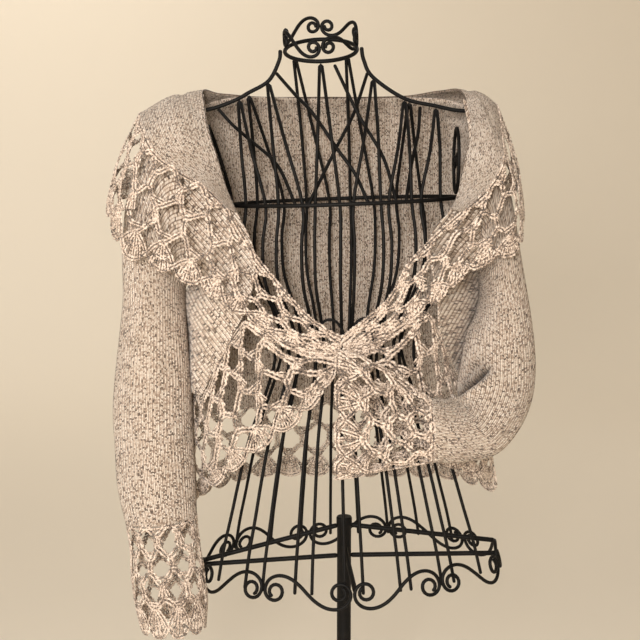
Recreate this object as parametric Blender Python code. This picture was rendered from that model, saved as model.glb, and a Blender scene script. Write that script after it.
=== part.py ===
# Cropped knit cardigan with crochet lace edging, worn by a limbless wire dress form on a round base.
# Left and right are as seen from the front, the front faces -Y and Z is up.
# Tables are in millimetres, in the upright frame of the torso before its small lean.

import math
import bmesh
import bpy
from mathutils import Matrix, Vector

MM = 0.001
KNIT_WALL = 2.0
LACE_WALL = 2.6
SEAM = 0.30
EDGE = 0.55
TURN_EDGE = 0.35
BEND_EDGE = 1.6
LEFT_ARMHOLE_EDGE = 1.3
RIGHT_ARMHOLE_EDGE = 2.6
RIB_RISE = 0.9
RIB_FIRST_ROW = 9
TOP_BULGE = 1.0
SCALLOP = 7.0
LEAN_DEG = 2.0
HIP_CENTRE_X = 8.0
HIP_CENTRE_Z = 372.0
WIRE_R = 2.6
THIN_WIRE_R = 2.2
SCROLL_R = 2.3
SPOKE_R = 3.2
SPOKE_END = 1.5
WIRE_SIDES = 4
POST_R = 9.5
POST_TOP = 426.0
BASE_R = 145.0
BASE_H = 12.0
BASE_EDGE = 4.0
BASE_SIDES = 32
SLEEVE_SIDES = 14

for old in list(bpy.data.objects):
    bpy.data.objects.remove(old, do_unlink=True)


def material(name, colour, rough, metal):
    mat = bpy.data.materials.new(name)
    mat.use_nodes = True
    shader = mat.node_tree.nodes["Principled BSDF"]
    shader.inputs["Base Color"].default_value = (*colour, 1.0)
    shader.inputs["Roughness"].default_value = rough
    shader.inputs["Metallic"].default_value = metal
    return mat


KNIT_COLOUR = (0.50, 0.38, 0.29)
LACE_COLOUR = (0.56, 0.44, 0.35)
WIRE_COLOUR = (0.015, 0.013, 0.012)


def wire_paint(name):
    return material(name + "_paint", WIRE_COLOUR, 0.4, 0.3)


# Lean of the torso about the hip centre, shared by the cardigan and the wires.
TORSO = (
    Matrix.Translation(Vector((HIP_CENTRE_X, 0.0, HIP_CENTRE_Z)))
    @ Matrix.Rotation(math.radians(-LEAN_DEG), 4, "Y")
    @ Matrix.Translation(Vector((0.0, 0.0, -HIP_CENTRE_Z)))
)
UPRIGHT = Matrix.Identity(4)


# Smooth curves and surfaces through table points

def catmull(points, t):
    last = len(points) - 1
    t = min(max(t, 0.0), float(last))
    k = min(int(t), last - 1)
    f = t - k
    p1 = points[k]
    p2 = points[k + 1]
    p0 = points[k - 1] if k > 0 else p1 * 2.0 - p2
    p3 = points[k + 2] if k + 2 <= last else p2 * 2.0 - p1
    a = p1 * 2.0
    b = (p2 - p0) * f
    c = (p0 * 2.0 - p1 * 5.0 + p2 * 4.0 - p3) * (f * f)
    d = (p1 * 3.0 - p0 - p2 * 3.0 + p3) * (f * f * f)
    return (a + b + c + d) * 0.5


def steps(count, last):
    return [last * i / count for i in range(count + 1)]


def loft(sections, along, across):
    grid = []
    width = len(sections[0])
    for u in steps(along, len(sections) - 1):
        rib = [catmull([row[c] for row in sections], u) for c in range(width)]
        grid.append([catmull(rib, v) for v in steps(across, width - 1)])
    return grid


def pull_rows(grid, first, last):
    for j in range(len(grid[0])):
        head = (grid[1][j] - grid[0][j]).normalized() * first
        tail = (grid[-2][j] - grid[-1][j]).normalized() * last
        grid[0][j] = grid[0][j] + head
        grid[-1][j] = grid[-1][j] + tail
    return grid


def pull_columns(grid, first, last):
    for row in grid:
        head = (row[1] - row[0]).normalized() * first
        tail = (row[-2] - row[-1]).normalized() * last
        row[0] = row[0] + head
        row[-1] = row[-1] + tail
    return grid


def scallop_columns(grid, rise, stop=100):
    for i, row in enumerate(grid):
        if i % 2 == 1 and i < min(stop, len(grid) - 1):
            row[-1] = row[-1] + (row[-1] - row[-2]).normalized() * rise
    return grid


# Closed walls from a grid of middle points

def grid_normals(grid, wrap):
    rows = len(grid)
    cols = len(grid[0])
    normals = []
    for i in range(rows):
        line = []
        for j in range(cols):
            du = grid[min(i + 1, rows - 1)][j] - grid[max(i - 1, 0)][j]
            if wrap:
                dv = grid[i][(j + 1) % cols] - grid[i][j - 1]
            else:
                dv = grid[i][min(j + 1, cols - 1)] - grid[i][max(j - 1, 0)]
            line.append(du.cross(dv).normalized())
        normals.append(line)
    return normals


def square_ends(grid, normals):
    for j in range(len(grid[0])):
        axis = (grid[0][j] - grid[-1][j]).normalized()
        normals[0][j] = axis if axis.dot(normals[0][j]) > 0.0 else -axis
        normals[-1][j] = axis if axis.dot(normals[-1][j]) > 0.0 else -axis


def diamond(corners, share):
    centre = (corners[0] + corners[1] + corners[2] + corners[3]) / 4.0
    points = []
    for k in range(4):
        middle = (corners[k] + corners[(k + 1) % 4]) / 2.0
        points.append(centre + (middle - centre) * share)
    return points


def wall(name, grid, thick, mat, wrap=False, side=1.0, relief=None, hole_share=None, half_tube=False):
    rows = len(grid)
    cols = len(grid[0])
    normals = grid_normals(grid, wrap)
    if half_tube:
        square_ends(grid, normals)
    bm = bmesh.new()
    skins = []
    for layer in (1.0, -1.0):
        skin = []
        for i in range(rows):
            line = []
            for j in range(cols):
                push = thick / 2.0
                if relief is not None and layer > 0.0:
                    push += relief(i, j)
                line.append(bm.verts.new(grid[i][j] + normals[i][j] * (side * layer * push)))
            skin.append(line)
        skins.append(skin)
    spans = cols if wrap else cols - 1
    for i in range(rows - 1):
        for j in range(spans):
            k = (j + 1) % cols
            share = hole_share(i, j) if hole_share is not None else 0.0
            rims = []
            for skin in skins:
                cell = [skin[i][j], skin[i + 1][j], skin[i + 1][k], skin[i][k]]
                if share <= 0.0:
                    bm.faces.new(cell)
                    continue
                rim = [bm.verts.new(p) for p in diamond([v.co for v in cell], share)]
                for c in range(4):
                    n = (c + 1) % 4
                    bm.faces.new((cell[c], cell[n], rim[c]))
                    bm.faces.new((cell[n], rim[n], rim[c]))
                rims.append(rim)
            if rims:
                for c in range(4):
                    n = (c + 1) % 4
                    bm.faces.new((rims[0][c], rims[0][n], rims[1][n], rims[1][c]))
    for i in (0, rows - 1):
        for j in range(spans):
            k = (j + 1) % cols
            bm.faces.new((skins[0][i][j], skins[0][i][k], skins[1][i][k], skins[1][i][j]))
    if not wrap:
        for j in (0, cols - 1):
            for i in range(rows - 1):
                bm.faces.new((skins[0][i][j], skins[0][i + 1][j], skins[1][i + 1][j], skins[1][i][j]))
    return finish(name, bm, mat, TORSO)


def finish(name, bm, mat, place):
    bmesh.ops.triangulate(bm, faces=bm.faces[:])
    bmesh.ops.recalc_face_normals(bm, faces=bm.faces[:])
    bm.transform(Matrix.Scale(MM, 4) @ place)
    mesh = bpy.data.meshes.new(name)
    bm.to_mesh(mesh)
    bm.free()
    for face in mesh.polygons:
        face.use_smooth = True
    mesh.materials.append(mat)
    obj = bpy.data.objects.new(name, mesh)
    bpy.context.scene.collection.objects.link(obj)
    return obj


# Round wires

def tube(name, points, radius, mat, closed=False, sides=WIRE_SIDES, place=TORSO):
    bm = bmesh.new()
    count = len(points)
    rings = []
    up = None
    for i, p in enumerate(points):
        if closed:
            ahead = points[(i + 1) % count] - points[i - 1]
        else:
            ahead = points[min(i + 1, count - 1)] - points[max(i - 1, 0)]
        ahead = ahead.normalized()
        if up is None:
            guide = Vector((0.0, 1.0, 0.0)) if abs(ahead.y) < 0.7 else Vector((1.0, 0.0, 0.0))
            up = guide
        up = (up - ahead * up.dot(ahead)).normalized()
        other = ahead.cross(up)
        ring = []
        for k in range(sides):
            turn = 2.0 * math.pi * k / sides
            ring.append(bm.verts.new(p + (up * math.cos(turn) + other * math.sin(turn)) * radius))
        rings.append(ring)
    for i in range(count if closed else count - 1):
        first = rings[i]
        second = rings[(i + 1) % count]
        shift = 0
        if closed and i == count - 1:
            gaps = [sum((first[k].co - second[(k + s) % sides].co).length for k in range(sides))
                    for s in range(sides)]
            shift = gaps.index(min(gaps))
        for k in range(sides):
            n = (k + 1) % sides
            bm.faces.new((first[k], first[n], second[(n + shift) % sides], second[(k + shift) % sides]))
    if not closed:
        bm.faces.new(rings[0])
        bm.faces.new(rings[-1])
    return finish(name, bm, mat, place)


# Sleeve rings: inner and outer point of the flattened tube, and its half depth front to back

LEFT_SLEEVE = [
    # in_x, in_y, in_z, out_x, out_y, out_z, half_depth
    (-198, 0, 750, -189, 0, 970, 58),
    (-205, 0, 748, -226, 0, 958, 58),
    (-210, 0, 746, -254, 0, 916, 54),
    (-214, 0, 743, -273, 0, 857, 51),
    (-217, 0, 737, -282, 0, 792, 49),
    (-214, -2, 718, -284, -2, 734, 47),
    (-207.5, -4, 683, -293, -4, 674, 46),
    (-205.6, -6, 631, -301, -6, 624, 45),
    (-203.5, -17, 582, -304, -14, 582, 45),
    (-201, -29, 544, -302, -24, 543, 44),
    (-199, -45, 492, -299, -40, 492, 41),
    (-198, -60, 454, -289, -54, 447, 37),
]
LEFT_CUFF = [
    (-198, -60, 454, -289, -54, 447, 37),
    (-195, -68, 421, -284, -63, 413, 36),
    (-190, -75, 384, -283, -71, 375, 36),
    (-187, -80, 346, -279, -77, 341, 36),
    (-190, -84, 312, -273, -81, 312, 35),
]
RIGHT_SLEEVE = [
    (176, 6, 752, 185, 0, 959, 58),
    (185, 6, 744, 200, -1, 936, 56),
    (189, 3, 733, 210, -4, 893, 51),
    (187, -4, 720, 222, -9, 838, 46),
    (180, -15, 705, 230, -15, 777, 42),
    (170, -30, 690, 236, -23, 726, 41),
    (159, -48, 673, 240, -34, 680, 42),
    (152, -68, 650, 240, -47, 636, 43),
    (152, -88, 631, 233, -62, 598, 43),
    (147, -106, 615, 215, -84, 565, 41),
    (135, -124, 608, 184, -106, 538, 38),
    (120, -140, 609, 142, -128, 533, 34),
    (101, -150, 614, 101, -144, 537, 30),
]
RIGHT_CUFF = [
    (101, -150, 614, 101, -144, 537, 30),
    (78, -156, 632, 74, -150, 534, 27),
    (46, -160, 656, 37, -156, 530, 24),
    (13, -162, 673, 6, -158, 524, 22),
    (-10, -162, 680, -16, -158, 522, 20),
]
# Folds pressed into a sleeve: place along the rings, turn around it, depth and spreads
LEFT_FOLDS = [
    # along, turn_deg, depth, along_spread, turn_spread
    (6.0, 120, 3.0, 1.8, 26),
    (8.5, 60, 2.5, 1.6, 22),
    (9.5, 230, 3.0, 1.5, 30),
]
RIGHT_FOLDS = [
    (6.5, 120, 3.5, 0.40, 46),
    (7.4, 112, 5.0, 0.40, 50),
    (8.3, 118, 5.0, 0.40, 50),
    (9.2, 125, 3.5, 0.40, 46),
    (10.4, 70, 3.0, 0.6, 30),
]


def ring_row(table, t):
    return catmull([Vector(row) for row in table], t)


def ring_point(row, turn_deg, push=0.0):
    inner = Vector(row[0:3])
    outer = Vector(row[3:6])
    axis = (outer - inner) / 2.0
    front = Vector((0.0, -1.0, 0.0))
    front = (front - axis.normalized() * front.dot(axis.normalized())).normalized()
    turn = math.radians(turn_deg)
    arm = axis * math.cos(turn) + front * (row[6] * math.sin(turn))
    return (inner + outer) / 2.0 + arm - arm.normalized() * push


def fold_depth(folds, t, turn_deg):
    depth = 0.0
    for along, turn, amount, along_spread, turn_spread in folds:
        apart = (turn_deg - turn + 180.0) % 360.0 - 180.0
        reach = ((t - along) / along_spread) ** 2 + (apart / turn_spread) ** 2
        depth += amount * math.exp(-reach)
    return depth


def sleeve_grid(table, count, turns, folds):
    grid = []
    for t in steps(count, len(table) - 1):
        row = ring_row(table, t)
        grid.append([ring_point(row, a, fold_depth(folds, t, a)) for a in turns])
    return grid


def whole_turn(sides):
    return [360.0 * k / sides for k in range(sides)]


def half_turn(start, sides):
    return [start + 180.0 * k / sides for k in range(sides + 1)]


# Shawl collar sections from the fold at the neck edge out to the lace edge

LEFT_COLLAR = [
    # fold, middle of knit, knit edge, lace edge
    ((-150, 34, 992), (-182, 56, 976), (-208, 72, 948), (-252, 84, 856)),
    ((-168, 6, 995), (-208, 8, 990), (-250, 8, 969), (-297, 10, 860)),
    ((-166, -19, 975), (-203, -39, 967), (-239, -54, 942), (-288, -50, 832)),
    ((-161, -42, 946), (-192, -63, 934), (-223, -73, 915), (-271, -72, 796)),
    ((-150, -60, 911), (-174, -74, 904), (-196, -81, 894), (-236, -90, 782)),
    ((-140, -73, 875), (-152, -82, 876), (-164, -86, 874), (-203, -101, 766)),
    ((-127, -83, 842), (-133, -87, 845), (-139, -88, 847), (-174, -108, 753)),
]
LEFT_FALL = [
    # fold with no knit behind it, lace edge
    ((-108, -95, 794), (-147, -114, 734)),
    ((-76, -109, 752), (-112, -121, 713)),
    ((-41, -121, 713), (-64, -127, 684)),
    ((-3.6, -129, 688), (-3.8, -131, 671)),
]
RIGHT_COLLAR = [
    ((142, 34, 986), (170, 54, 976), (197, 64, 951), (218, 82, 850)),
    ((163, 6, 982), (187, 8, 979), (208, 8, 963), (238, 8, 843)),
    ((169, -20, 954), (190, -38, 944), (207, -46, 918), (230, -48, 803)),
    ((168, -42, 926), (187, -59, 913), (204, -70, 890), (219, -76, 782)),
    ((159, -60, 893), (176, -74, 882), (189, -80, 865), (191, -94, 774)),
    ((149, -74.0, 859), (161, -83, 855), (171, -86, 849), (166, -103, 766)),
    ((137, -84.9, 836), (143, -89, 835), (149, -89, 832), (143, -110, 753)),
]
RIGHT_FALL = [
    ((110, -95, 800), (120, -116, 733)),
    ((80, -109, 771), (97, -122, 720)),
    ((54, -121, 731), (61, -128, 698)),
    ((-2.8, -129, 688), (-2.6, -131, 671)),
]
BACK_COLLAR = [
    ((142, 34, 986), (170, 54, 976), (197, 64, 951), (218, 82, 850)),
    ((92, 62, 981), (106, 88, 966), (118, 103, 936), (126, 126, 846)),
    ((0, 70, 983), (0, 98, 966), (0, 112, 936), (0, 134, 846)),
    ((-94, 64, 986), (-110, 90, 972), (-124, 104, 942), (-136, 126, 850)),
    ((-150, 34, 992), (-182, 56, 976), (-208, 72, 948), (-252, 84, 856)),
]

# Knit fronts: turn on the armhole ring or a point of the side seam, then the neck or lace edge

LEFT_FRONT_TOP = [
    # armhole_turn_deg, neck_x, neck_y, neck_z
    (6, -168, 0, 990),
    (40, -160, -36, 944),
    (72, -149, -54, 909),
    (104, -139, -68, 873),
    (138, -126, -78, 841),
    (174, -107, -92, 794),
]
LEFT_FRONT_LOW = [
    # seam_x, seam_y, seam_z, edge_x, edge_y, edge_z
    (-203.5, 10, 715, -114, -98, 735),
    (-207, 18, 680, -138, -88, 691),
    (-208, 24, 645, -162, -70, 649),
    (-207, 27, 605, -185, -40, 606),
]
RIGHT_FRONT_TOP = [
    (6, 163, 0, 973),
    (40, 167, -34, 924),
    (72, 158, -52, 892),
    (104, 148, -68, 858),
    (138, 136, -80, 835),
    (174, 109, -92, 800),
]
RIGHT_FRONT_LOW = [
    (180, 16, 712, 116, -98, 727),
    (183, 24, 675, 119, -88, 682),
    (184, 28, 635, 136, -62, 640),
    (186, 30, 592, 160, -26, 594),
]
# Lace fronts: upper edge under the collar and knit, lower cut-away edge
LEFT_FRONT_LACE = [
    # upper, lower
    ((-206, 26, 603.4), (-207, 22, 452)),
    ((-184, -41, 603.1), (-177, -42, 485)),
    ((-161, -71, 647), (-140, -76, 519)),
    ((-137, -89, 689), (-94, -102, 559)),
    ((-112, -119, 709), (-58, -116, 586)),
    ((-64, -126, 680), (-35, -125, 614)),
    ((-6, -130, 667), (-16, -129, 642)),
]
RIGHT_FRONT_LACE = [
    ((186, 30, 587), (196, 32, 458)),
    ((158, -28, 588), (168, -46, 486)),
    ((134, -64, 634), (120, -88, 519)),
    ((118, -89, 680), (80, -106, 553)),
    ((97, -120, 716), (48, -117, 576)),
    ((61, -127, 694), (24, -125, 610)),
    ((-0.4, -130, 667), (6, -129, 642)),
]
# Knit back: rows from the neck down to the lace hem
BACK_TOP = [
    # armhole_turn_deg, left_mid_x, left_mid_y, left_mid_z, mid_y, mid_z,
    # right_mid_x, right_mid_y, right_mid_z
    (-6, -130, 40, 986, 62, 980, 130, 40, 976),
    (-40, -130, 72, 952, 84, 950, 130, 72, 942),
    (-90, -130, 92, 872, 102, 870, 130, 92, 864),
    (-138, -130, 98, 796, 110, 795, 130, 98, 790),
    (-174, -130, 98, 742, 110, 742, 128, 98, 738),
]
BACK_LOW = [
    # left_x, left_y, left_z, left_mid_x, left_mid_y, mid_y,
    # right_mid_x, right_mid_y, right_x, right_y, right_z
    (-205, 21, 700, -128, 96, 106, 120, 98, 181, 26, 700),
    (-209, 29, 640, -128, 94, 102, 120, 96, 184, 35, 640),
    (-209, 32, 560, -128, 104, 114, 128, 106, 189, 38, 560),
]
HEM_LACE = [
    (-209, 32, 560, -128, 104, 114, 128, 106, 189, 38, 560),
    (-209, 30, 500, -130, 112, 124, 134, 116, 198, 40, 500),
    (-209, 28, 452, -132, 120, 132, 140, 124, 207, 40, 440),
]


def front_sections(sleeve, top, low, fullness, edge):
    hole = Vector(sleeve[0])
    sections = []
    for turn, x, y, z in top:
        inner = Vector((x, y, z))
        outer = ring_point(hole, turn)
        outer = outer + (inner - outer).normalized() * edge
        middle = (outer + inner) / 2.0 + Vector((0.0, -TOP_BULGE, 0.0))
        sections.append((outer, middle, inner))
    for seam_x, seam_y, seam_z, edge_x, edge_y, edge_z in low:
        outer = Vector((seam_x, seam_y, seam_z))
        inner = Vector((edge_x, edge_y, edge_z))
        run = inner - outer
        middle = (outer + inner) / 2.0 + Vector((-0.7 * fullness * run.x, fullness * run.y, 0.0))
        sections.append((outer, middle, inner))
    return sections


def back_sections():
    sections = []
    for turn, lx, ly, lz, mid_y, mid_z, rx, ry, rz in BACK_TOP:
        left = ring_point(Vector(LEFT_SLEEVE[0]), turn)
        right = ring_point(Vector(RIGHT_SLEEVE[0]), turn)
        middle = Vector((0, mid_y, mid_z))
        sections.append((left, Vector((lx, ly, lz)), middle, Vector((rx, ry, rz)), right))
    return sections + low_sections(BACK_LOW)


def low_sections(table):
    sections = []
    for lx, ly, lz, lmx, lmy, mid_y, rmx, rmy, rx, ry, rz in table:
        left = Vector((lx, ly, lz))
        right = Vector((rx, ry, rz))
        middle = Vector((0, mid_y, (lz + rz) / 2.0))
        sections.append((left, Vector((lmx, lmy, lz)), middle, Vector((rmx, rmy, rz)), right))
    return sections


def points(rows):
    return [tuple(Vector(p) for p in row) for row in rows]


# Knit pieces

def rib_relief(i, j):
    return RIB_RISE if i > RIB_FIRST_ROW and (i + j) % 3 == 0 else 0.0


def make_knit():
    grid = pull_rows(loft(back_sections(), 12, 12), 0.0, EDGE)
    pull_columns(grid, LEFT_ARMHOLE_EDGE, RIGHT_ARMHOLE_EDGE)
    wall("back_knit", grid, KNIT_WALL, material("back_yarn", KNIT_COLOUR, 0.9, 0.0))
    fronts = (
        ("left_front_knit", LEFT_SLEEVE, LEFT_FRONT_TOP, LEFT_FRONT_LOW, 1.0, 0.16, LEFT_ARMHOLE_EDGE),
        ("right_front_knit", RIGHT_SLEEVE, RIGHT_FRONT_TOP, RIGHT_FRONT_LOW, -1.0, 0.03,
         RIGHT_ARMHOLE_EDGE),
    )
    for name, sleeve, top, low, side, fullness, edge in fronts:
        grid = pull_rows(loft(front_sections(sleeve, top, low, fullness, edge), 18, 8), 1.2, EDGE)
        pull_columns(grid, 0.0, EDGE)
        yarn = material(name + "_yarn", KNIT_COLOUR, 0.9, 0.0)
        wall(name, grid, KNIT_WALL, yarn, False, side, rib_relief)
    sleeves = (
        ("left_sleeve", LEFT_SLEEVE, LEFT_FOLDS, 16),
        ("right_sleeve", RIGHT_SLEEVE, RIGHT_FOLDS, 22),
    )
    for name, table, folds, count in sleeves:
        grid = sleeve_grid(table, count, whole_turn(SLEEVE_SIDES), folds)
        pull_rows(grid, 0.6, EDGE)
        wall(name, grid, KNIT_WALL, material(name + "_yarn", KNIT_COLOUR, 0.9, 0.0), True)
    whole = points(LEFT_COLLAR[::-1]) + points(BACK_COLLAR[::-1])[1:-1] + points(RIGHT_COLLAR)
    sections = [row[0:3] for row in whole]
    grid = pull_columns(loft(sections, 34, 3), 0.0, BEND_EDGE)
    wall("collar_knit", grid, KNIT_WALL, material("collar_yarn", KNIT_COLOUR, 0.9, 0.0))


# Lace pieces with one cut-out to a mesh and solid shells along the scalloped edge

def edging_hole(rows):
    def share(i, j):
        return 0.78 if j < rows else 0.0
    return share


def make_lace():
    sides = (
        ("left_collar_lace", LEFT_COLLAR, LEFT_FALL),
        ("right_collar_lace", RIGHT_COLLAR, RIGHT_FALL),
    )
    for name, collar, fall in sides:
        sections = [(row[2], (row[2] + row[3]) / 2.0, row[3]) for row in points(collar)]
        sections += [(row[0], (row[0] + row[1]) / 2.0, row[1]) for row in points(fall)]
        bulge(sections)
        grid = scallop_columns(loft(sections, 15, 3), SCALLOP, 11)
        pull_columns(pull_rows(grid, EDGE, 0.0), BEND_EDGE, 0.0)
        yarn = material(name + "_yarn", LACE_COLOUR, 0.9, 0.0)
        wall(name, grid, LACE_WALL, yarn, hole_share=edging_hole(2))
    sections = [(row[2], (row[2] + row[3]) / 2.0, row[3]) for row in points(BACK_COLLAR)]
    bulge(sections)
    grid = scallop_columns(loft(sections, 12, 3), SCALLOP)
    pull_columns(pull_rows(grid, EDGE, EDGE), BEND_EDGE, 0.0)
    wall("back_collar_lace", grid, LACE_WALL, material("back_collar_lace_yarn", LACE_COLOUR, 0.9, 0.0),
         hole_share=edging_hole(2))
    fronts = (
        ("left_front_lace", LEFT_FRONT_LACE),
        ("right_front_lace", RIGHT_FRONT_LACE),
    )
    for name, table in fronts:
        sections = [(row[0], (row[0] + row[1]) / 2.0, row[1]) for row in points(table)]
        bulge(sections)
        grid = scallop_columns(loft(sections, 10, 4), SCALLOP * 0.7)
        pull_columns(pull_rows(grid, EDGE, EDGE), EDGE, 0.0)
        yarn = material(name + "_yarn", LACE_COLOUR, 0.9, 0.0)
        wall(name, grid, LACE_WALL, yarn, hole_share=edging_hole(3))
    rows = low_sections(HEM_LACE)
    sections = [tuple(row[c] for row in rows) for c in range(5)]
    grid = scallop_columns(loft(sections, 16, 3), SCALLOP)
    pull_columns(pull_rows(grid, SEAM / 2.0, SEAM / 2.0), EDGE, 0.0)
    yarn = material("hem_lace_yarn", LACE_COLOUR, 0.9, 0.0)
    wall("hem_lace", grid, LACE_WALL, yarn, hole_share=edging_hole(2))
    cuffs = (
        ("left_cuff_front", LEFT_CUFF, 0.0, SEAM / 2.0),
        ("left_cuff_back", LEFT_CUFF, 180.0, SEAM / 2.0),
        ("right_cuff_front", RIGHT_CUFF, 0.0, EDGE),
        ("right_cuff_back", RIGHT_CUFF, 180.0, EDGE),
    )
    for name, table, start, seam in cuffs:
        turns = half_turn(start, 4)
        lines = sleeve_grid(table, 4, turns, [])
        grid = [[line[k] for line in lines] for k in range(len(turns))]
        scallop_columns(grid, SCALLOP * 0.6)
        pull_columns(pull_rows(grid, TURN_EDGE, TURN_EDGE), seam, 0.0)
        yarn = material(name + "_yarn", LACE_COLOUR, 0.9, 0.0)
        wall(name, grid, LACE_WALL, yarn, hole_share=edging_hole(3), half_tube=True)


def bulge(sections):
    for k, (first, middle, last) in enumerate(sections):
        out = Vector((middle.x * 0.5, middle.y, 0.0)).normalized()
        sections[k] = (first, middle + out * (0.05 * (last - first).length), last)


# Wire dress form

FORM = [
    # z, centre_x, half_width, front, back
    (1040, -16, 46, 40, 40),
    (960, 0, 120, 78, 68),
    (848, 7, 145, 105, 88),
    (760, 5, 150, 110, 90),
    (660, 2, 107, 82, 76),
    (550, 0, 146, 98, 94),
    (460, 0, 174, 112, 110),
    (372, 0, 198, 126, 126),
    (330, 0, 204, 130, 130),
]
CROWN_Z = 1040.0
CROWN_TILT = 17.0
BUST_Z = 848.0
FRONT_RISE = 0.20
BACK_RISE = 0.04
APEX_SPREAD = 5.0
BAND_Z = 366.0
HIP_SCROLLS = 9
CROWN_SCROLLS = 4
CROWN_FIT = 0.4
LEG_LEVELS = [848.0, 800.0, 750.0, 700.0, 655.0, 610.0, 555.0, 500.0, 450.0, 405.0, 362.0]
FRONT_WIRES = [
    # name, apex_x, apex_y, apex_z, bust_x of each leg
    ("front_wire_1", -122, -6.0, 977, -122, -95),
    ("front_wire_2", -84, -6.0, 997, -78, -47),
    ("front_wire_3", -17, -39.6, 1016.6, -31, 0),
    ("front_wire_4", 49, -6.0, 997, 17, 52),
    ("front_wire_5", 88, -6.0, 969, 62, 92),
    ("front_wire_6", 128, -6.0, 958, 104, 132),
]
BACK_WIRES = [
    ("back_wire_1", -110, 6.0, 983, -112, -76),
    ("back_wire_2", -50, 34.0, 1030, -44, -12),
    ("back_wire_3", 18, 34.0, 1030, 18, 50),
    ("back_wire_4", 95, 6.0, 967, 82, 116),
]
CROSS_WIRES = [
    # name, upper knots, bust_x, ring_gap
    ("cross_wire_1", ((0, -37.6, 1018.4), (27, -62, 956), (56, -69, 902)), 72, 0.7),
    ("cross_wire_2", ((-74, -6, 1013), (-49, -45, 982), (-29, -68, 959), (0, -80, 914), (20, -84, 884)),
     36, 0.7),
    ("cross_wire_3", ((42, -6, 1009), (22, -48, 958), (-2, -66, 915)), -40, 0.2),
    ("cross_wire_4", ((-150, -3, 971), (-132, -12, 950), (-112, -30, 932), (-75, -60, 897)), -56, 0.7),
    ("cross_wire_5", ((108, -6, 964), (102, -36, 930), (92, -56, 895)), 84, 0.2),
]
LEFT_SHOULDER_WIRE = [
    # x, z
    (-67.6, 1042),
    (-70, 1028),
    (-84, 1004),
    (-110, 990),
    (-128, 981),
    (-158, 971.5),
    (-188.7, 967.6),
]
RIGHT_SHOULDER_WIRE = [
    (35.6, 1042),
    (38, 1026),
    (49, 1004),
    (88, 976),
    (128, 965),
    (155, 958.5),
    (183.8, 956.4),
]


def form_row(z):
    rows = [Vector(row) for row in FORM]
    for k in range(len(rows) - 1):
        if rows[k + 1][0] <= z <= rows[k][0]:
            t = k + (rows[k][0] - z) / (rows[k][0] - rows[k + 1][0])
            return catmull(rows, t)
    return rows[-1]


def form_point(turn, z, inset):
    row = form_row(z)
    depth = row[4] if math.sin(turn) > 0.0 else row[3]
    return Vector((row[1] + (row[2] - inset) * math.cos(turn), (depth - inset) * math.sin(turn), z))


def smooth_path(knots, count):
    return [catmull(knots, t) for t in steps(count, len(knots) - 1)]


def cornu(turns, count):
    half = []
    p = Vector((0.0, 0.0))
    fine = 40
    for i in range(count):
        half.append(p.copy())
        for k in range(fine):
            s = turns * (i + (k + 0.5) / fine) / count
            angle = math.pi * s * s / 2.0 - math.pi / 4.0
            p += Vector((math.cos(angle), math.sin(angle))) * (turns / count / fine)
    half.append(p.copy())
    return [Vector((-q.x, -q.y)) for q in half[:0:-1]] + half


def scroll_shape(width, turns, count):
    curve = cornu(turns, count)
    reach = max(q.x for q in curve)
    return [q * (width / 2.0 / reach) for q in curve]


def leg_wire(name, apex, first, second, back, mat):
    row = form_row(BUST_Z)
    legs = []
    for bust_x in (first, second):
        turn = math.acos(max(-1.0, min(1.0, (bust_x - row[1]) / row[2])))
        turn = turn if back else -turn
        legs.append([form_point(turn, z, WIRE_R + THIN_WIRE_R + SEAM + 0.4) for z in LEG_LEVELS])
    runs = []
    for leg in legs:
        rise = (apex + leg[0]) / 2.0
        rise.y = rise.y + (BACK_RISE if back else -FRONT_RISE) * (apex - leg[0]).length
        rise.z = rise.z + 6.0
        runs.append([rise] + leg)
    spread = Vector((APEX_SPREAD, 0.0, 0.0))
    top = [apex - spread, apex + spread]
    upper = smooth_path([top[0]] + runs[0], 12)
    lower = smooth_path([top[1]] + runs[1], 12)
    tube(name, upper[::-1] + [apex + Vector((0.0, 0.0, 2.0))] + lower, THIN_WIRE_R, mat, sides=4)


def cross_wire(name, knots, bust_x, ring_gap):
    row = form_row(BUST_Z)
    turn = -math.acos((bust_x - row[1]) / row[2])
    lower = [form_point(turn, BUST_Z, WIRE_R + THIN_WIRE_R + ring_gap)]
    path = smooth_path([Vector(p) for p in knots] + lower, 11)
    tube(name, path, THIN_WIRE_R, wire_paint(name))


def make_form():
    count = 30
    ring = [form_point(2.0 * math.pi * k / count, BUST_Z, 0.0) for k in range(count)]
    tube("bust_ring", ring, WIRE_R, wire_paint("bust_ring"), True)
    crown = []
    for k in range(20):
        p = form_point(2.0 * math.pi * k / 20, CROWN_Z, 0.0)
        p.z += CROWN_TILT * p.y / 40.0
        crown.append(p)
    tube("crown_ring", crown, WIRE_R, wire_paint("crown_ring"), True)
    for name, x, y, z, first, second in FRONT_WIRES:
        leg_wire(name, Vector((x, y, z)), first, second, False, wire_paint(name))
    for name, x, y, z, first, second in BACK_WIRES:
        leg_wire(name, Vector((x, y, z)), first, second, True, wire_paint(name))
    shoulders = (("left_shoulder_wire", LEFT_SHOULDER_WIRE), ("right_shoulder_wire", RIGHT_SHOULDER_WIRE))
    for name, table in shoulders:
        knots = [Vector((x, 0.0, z)) for x, z in table]
        tube(name, smooth_path(knots, 11), WIRE_R, wire_paint(name))
    for name, knots, bust_x, ring_gap in CROSS_WIRES:
        cross_wire(name, knots, bust_x, ring_gap)
    make_armholes()
    band = make_scrolls()
    make_stand(band)


ARMHOLE_WIRES = [
    # name, top_x, top_z, low_x, low_z, half_depth
    ("left_armhole", -164, 950, -138, 853.0, 30),
    ("right_armhole", 155, 936, 152, 853.4, 30),
]


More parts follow.
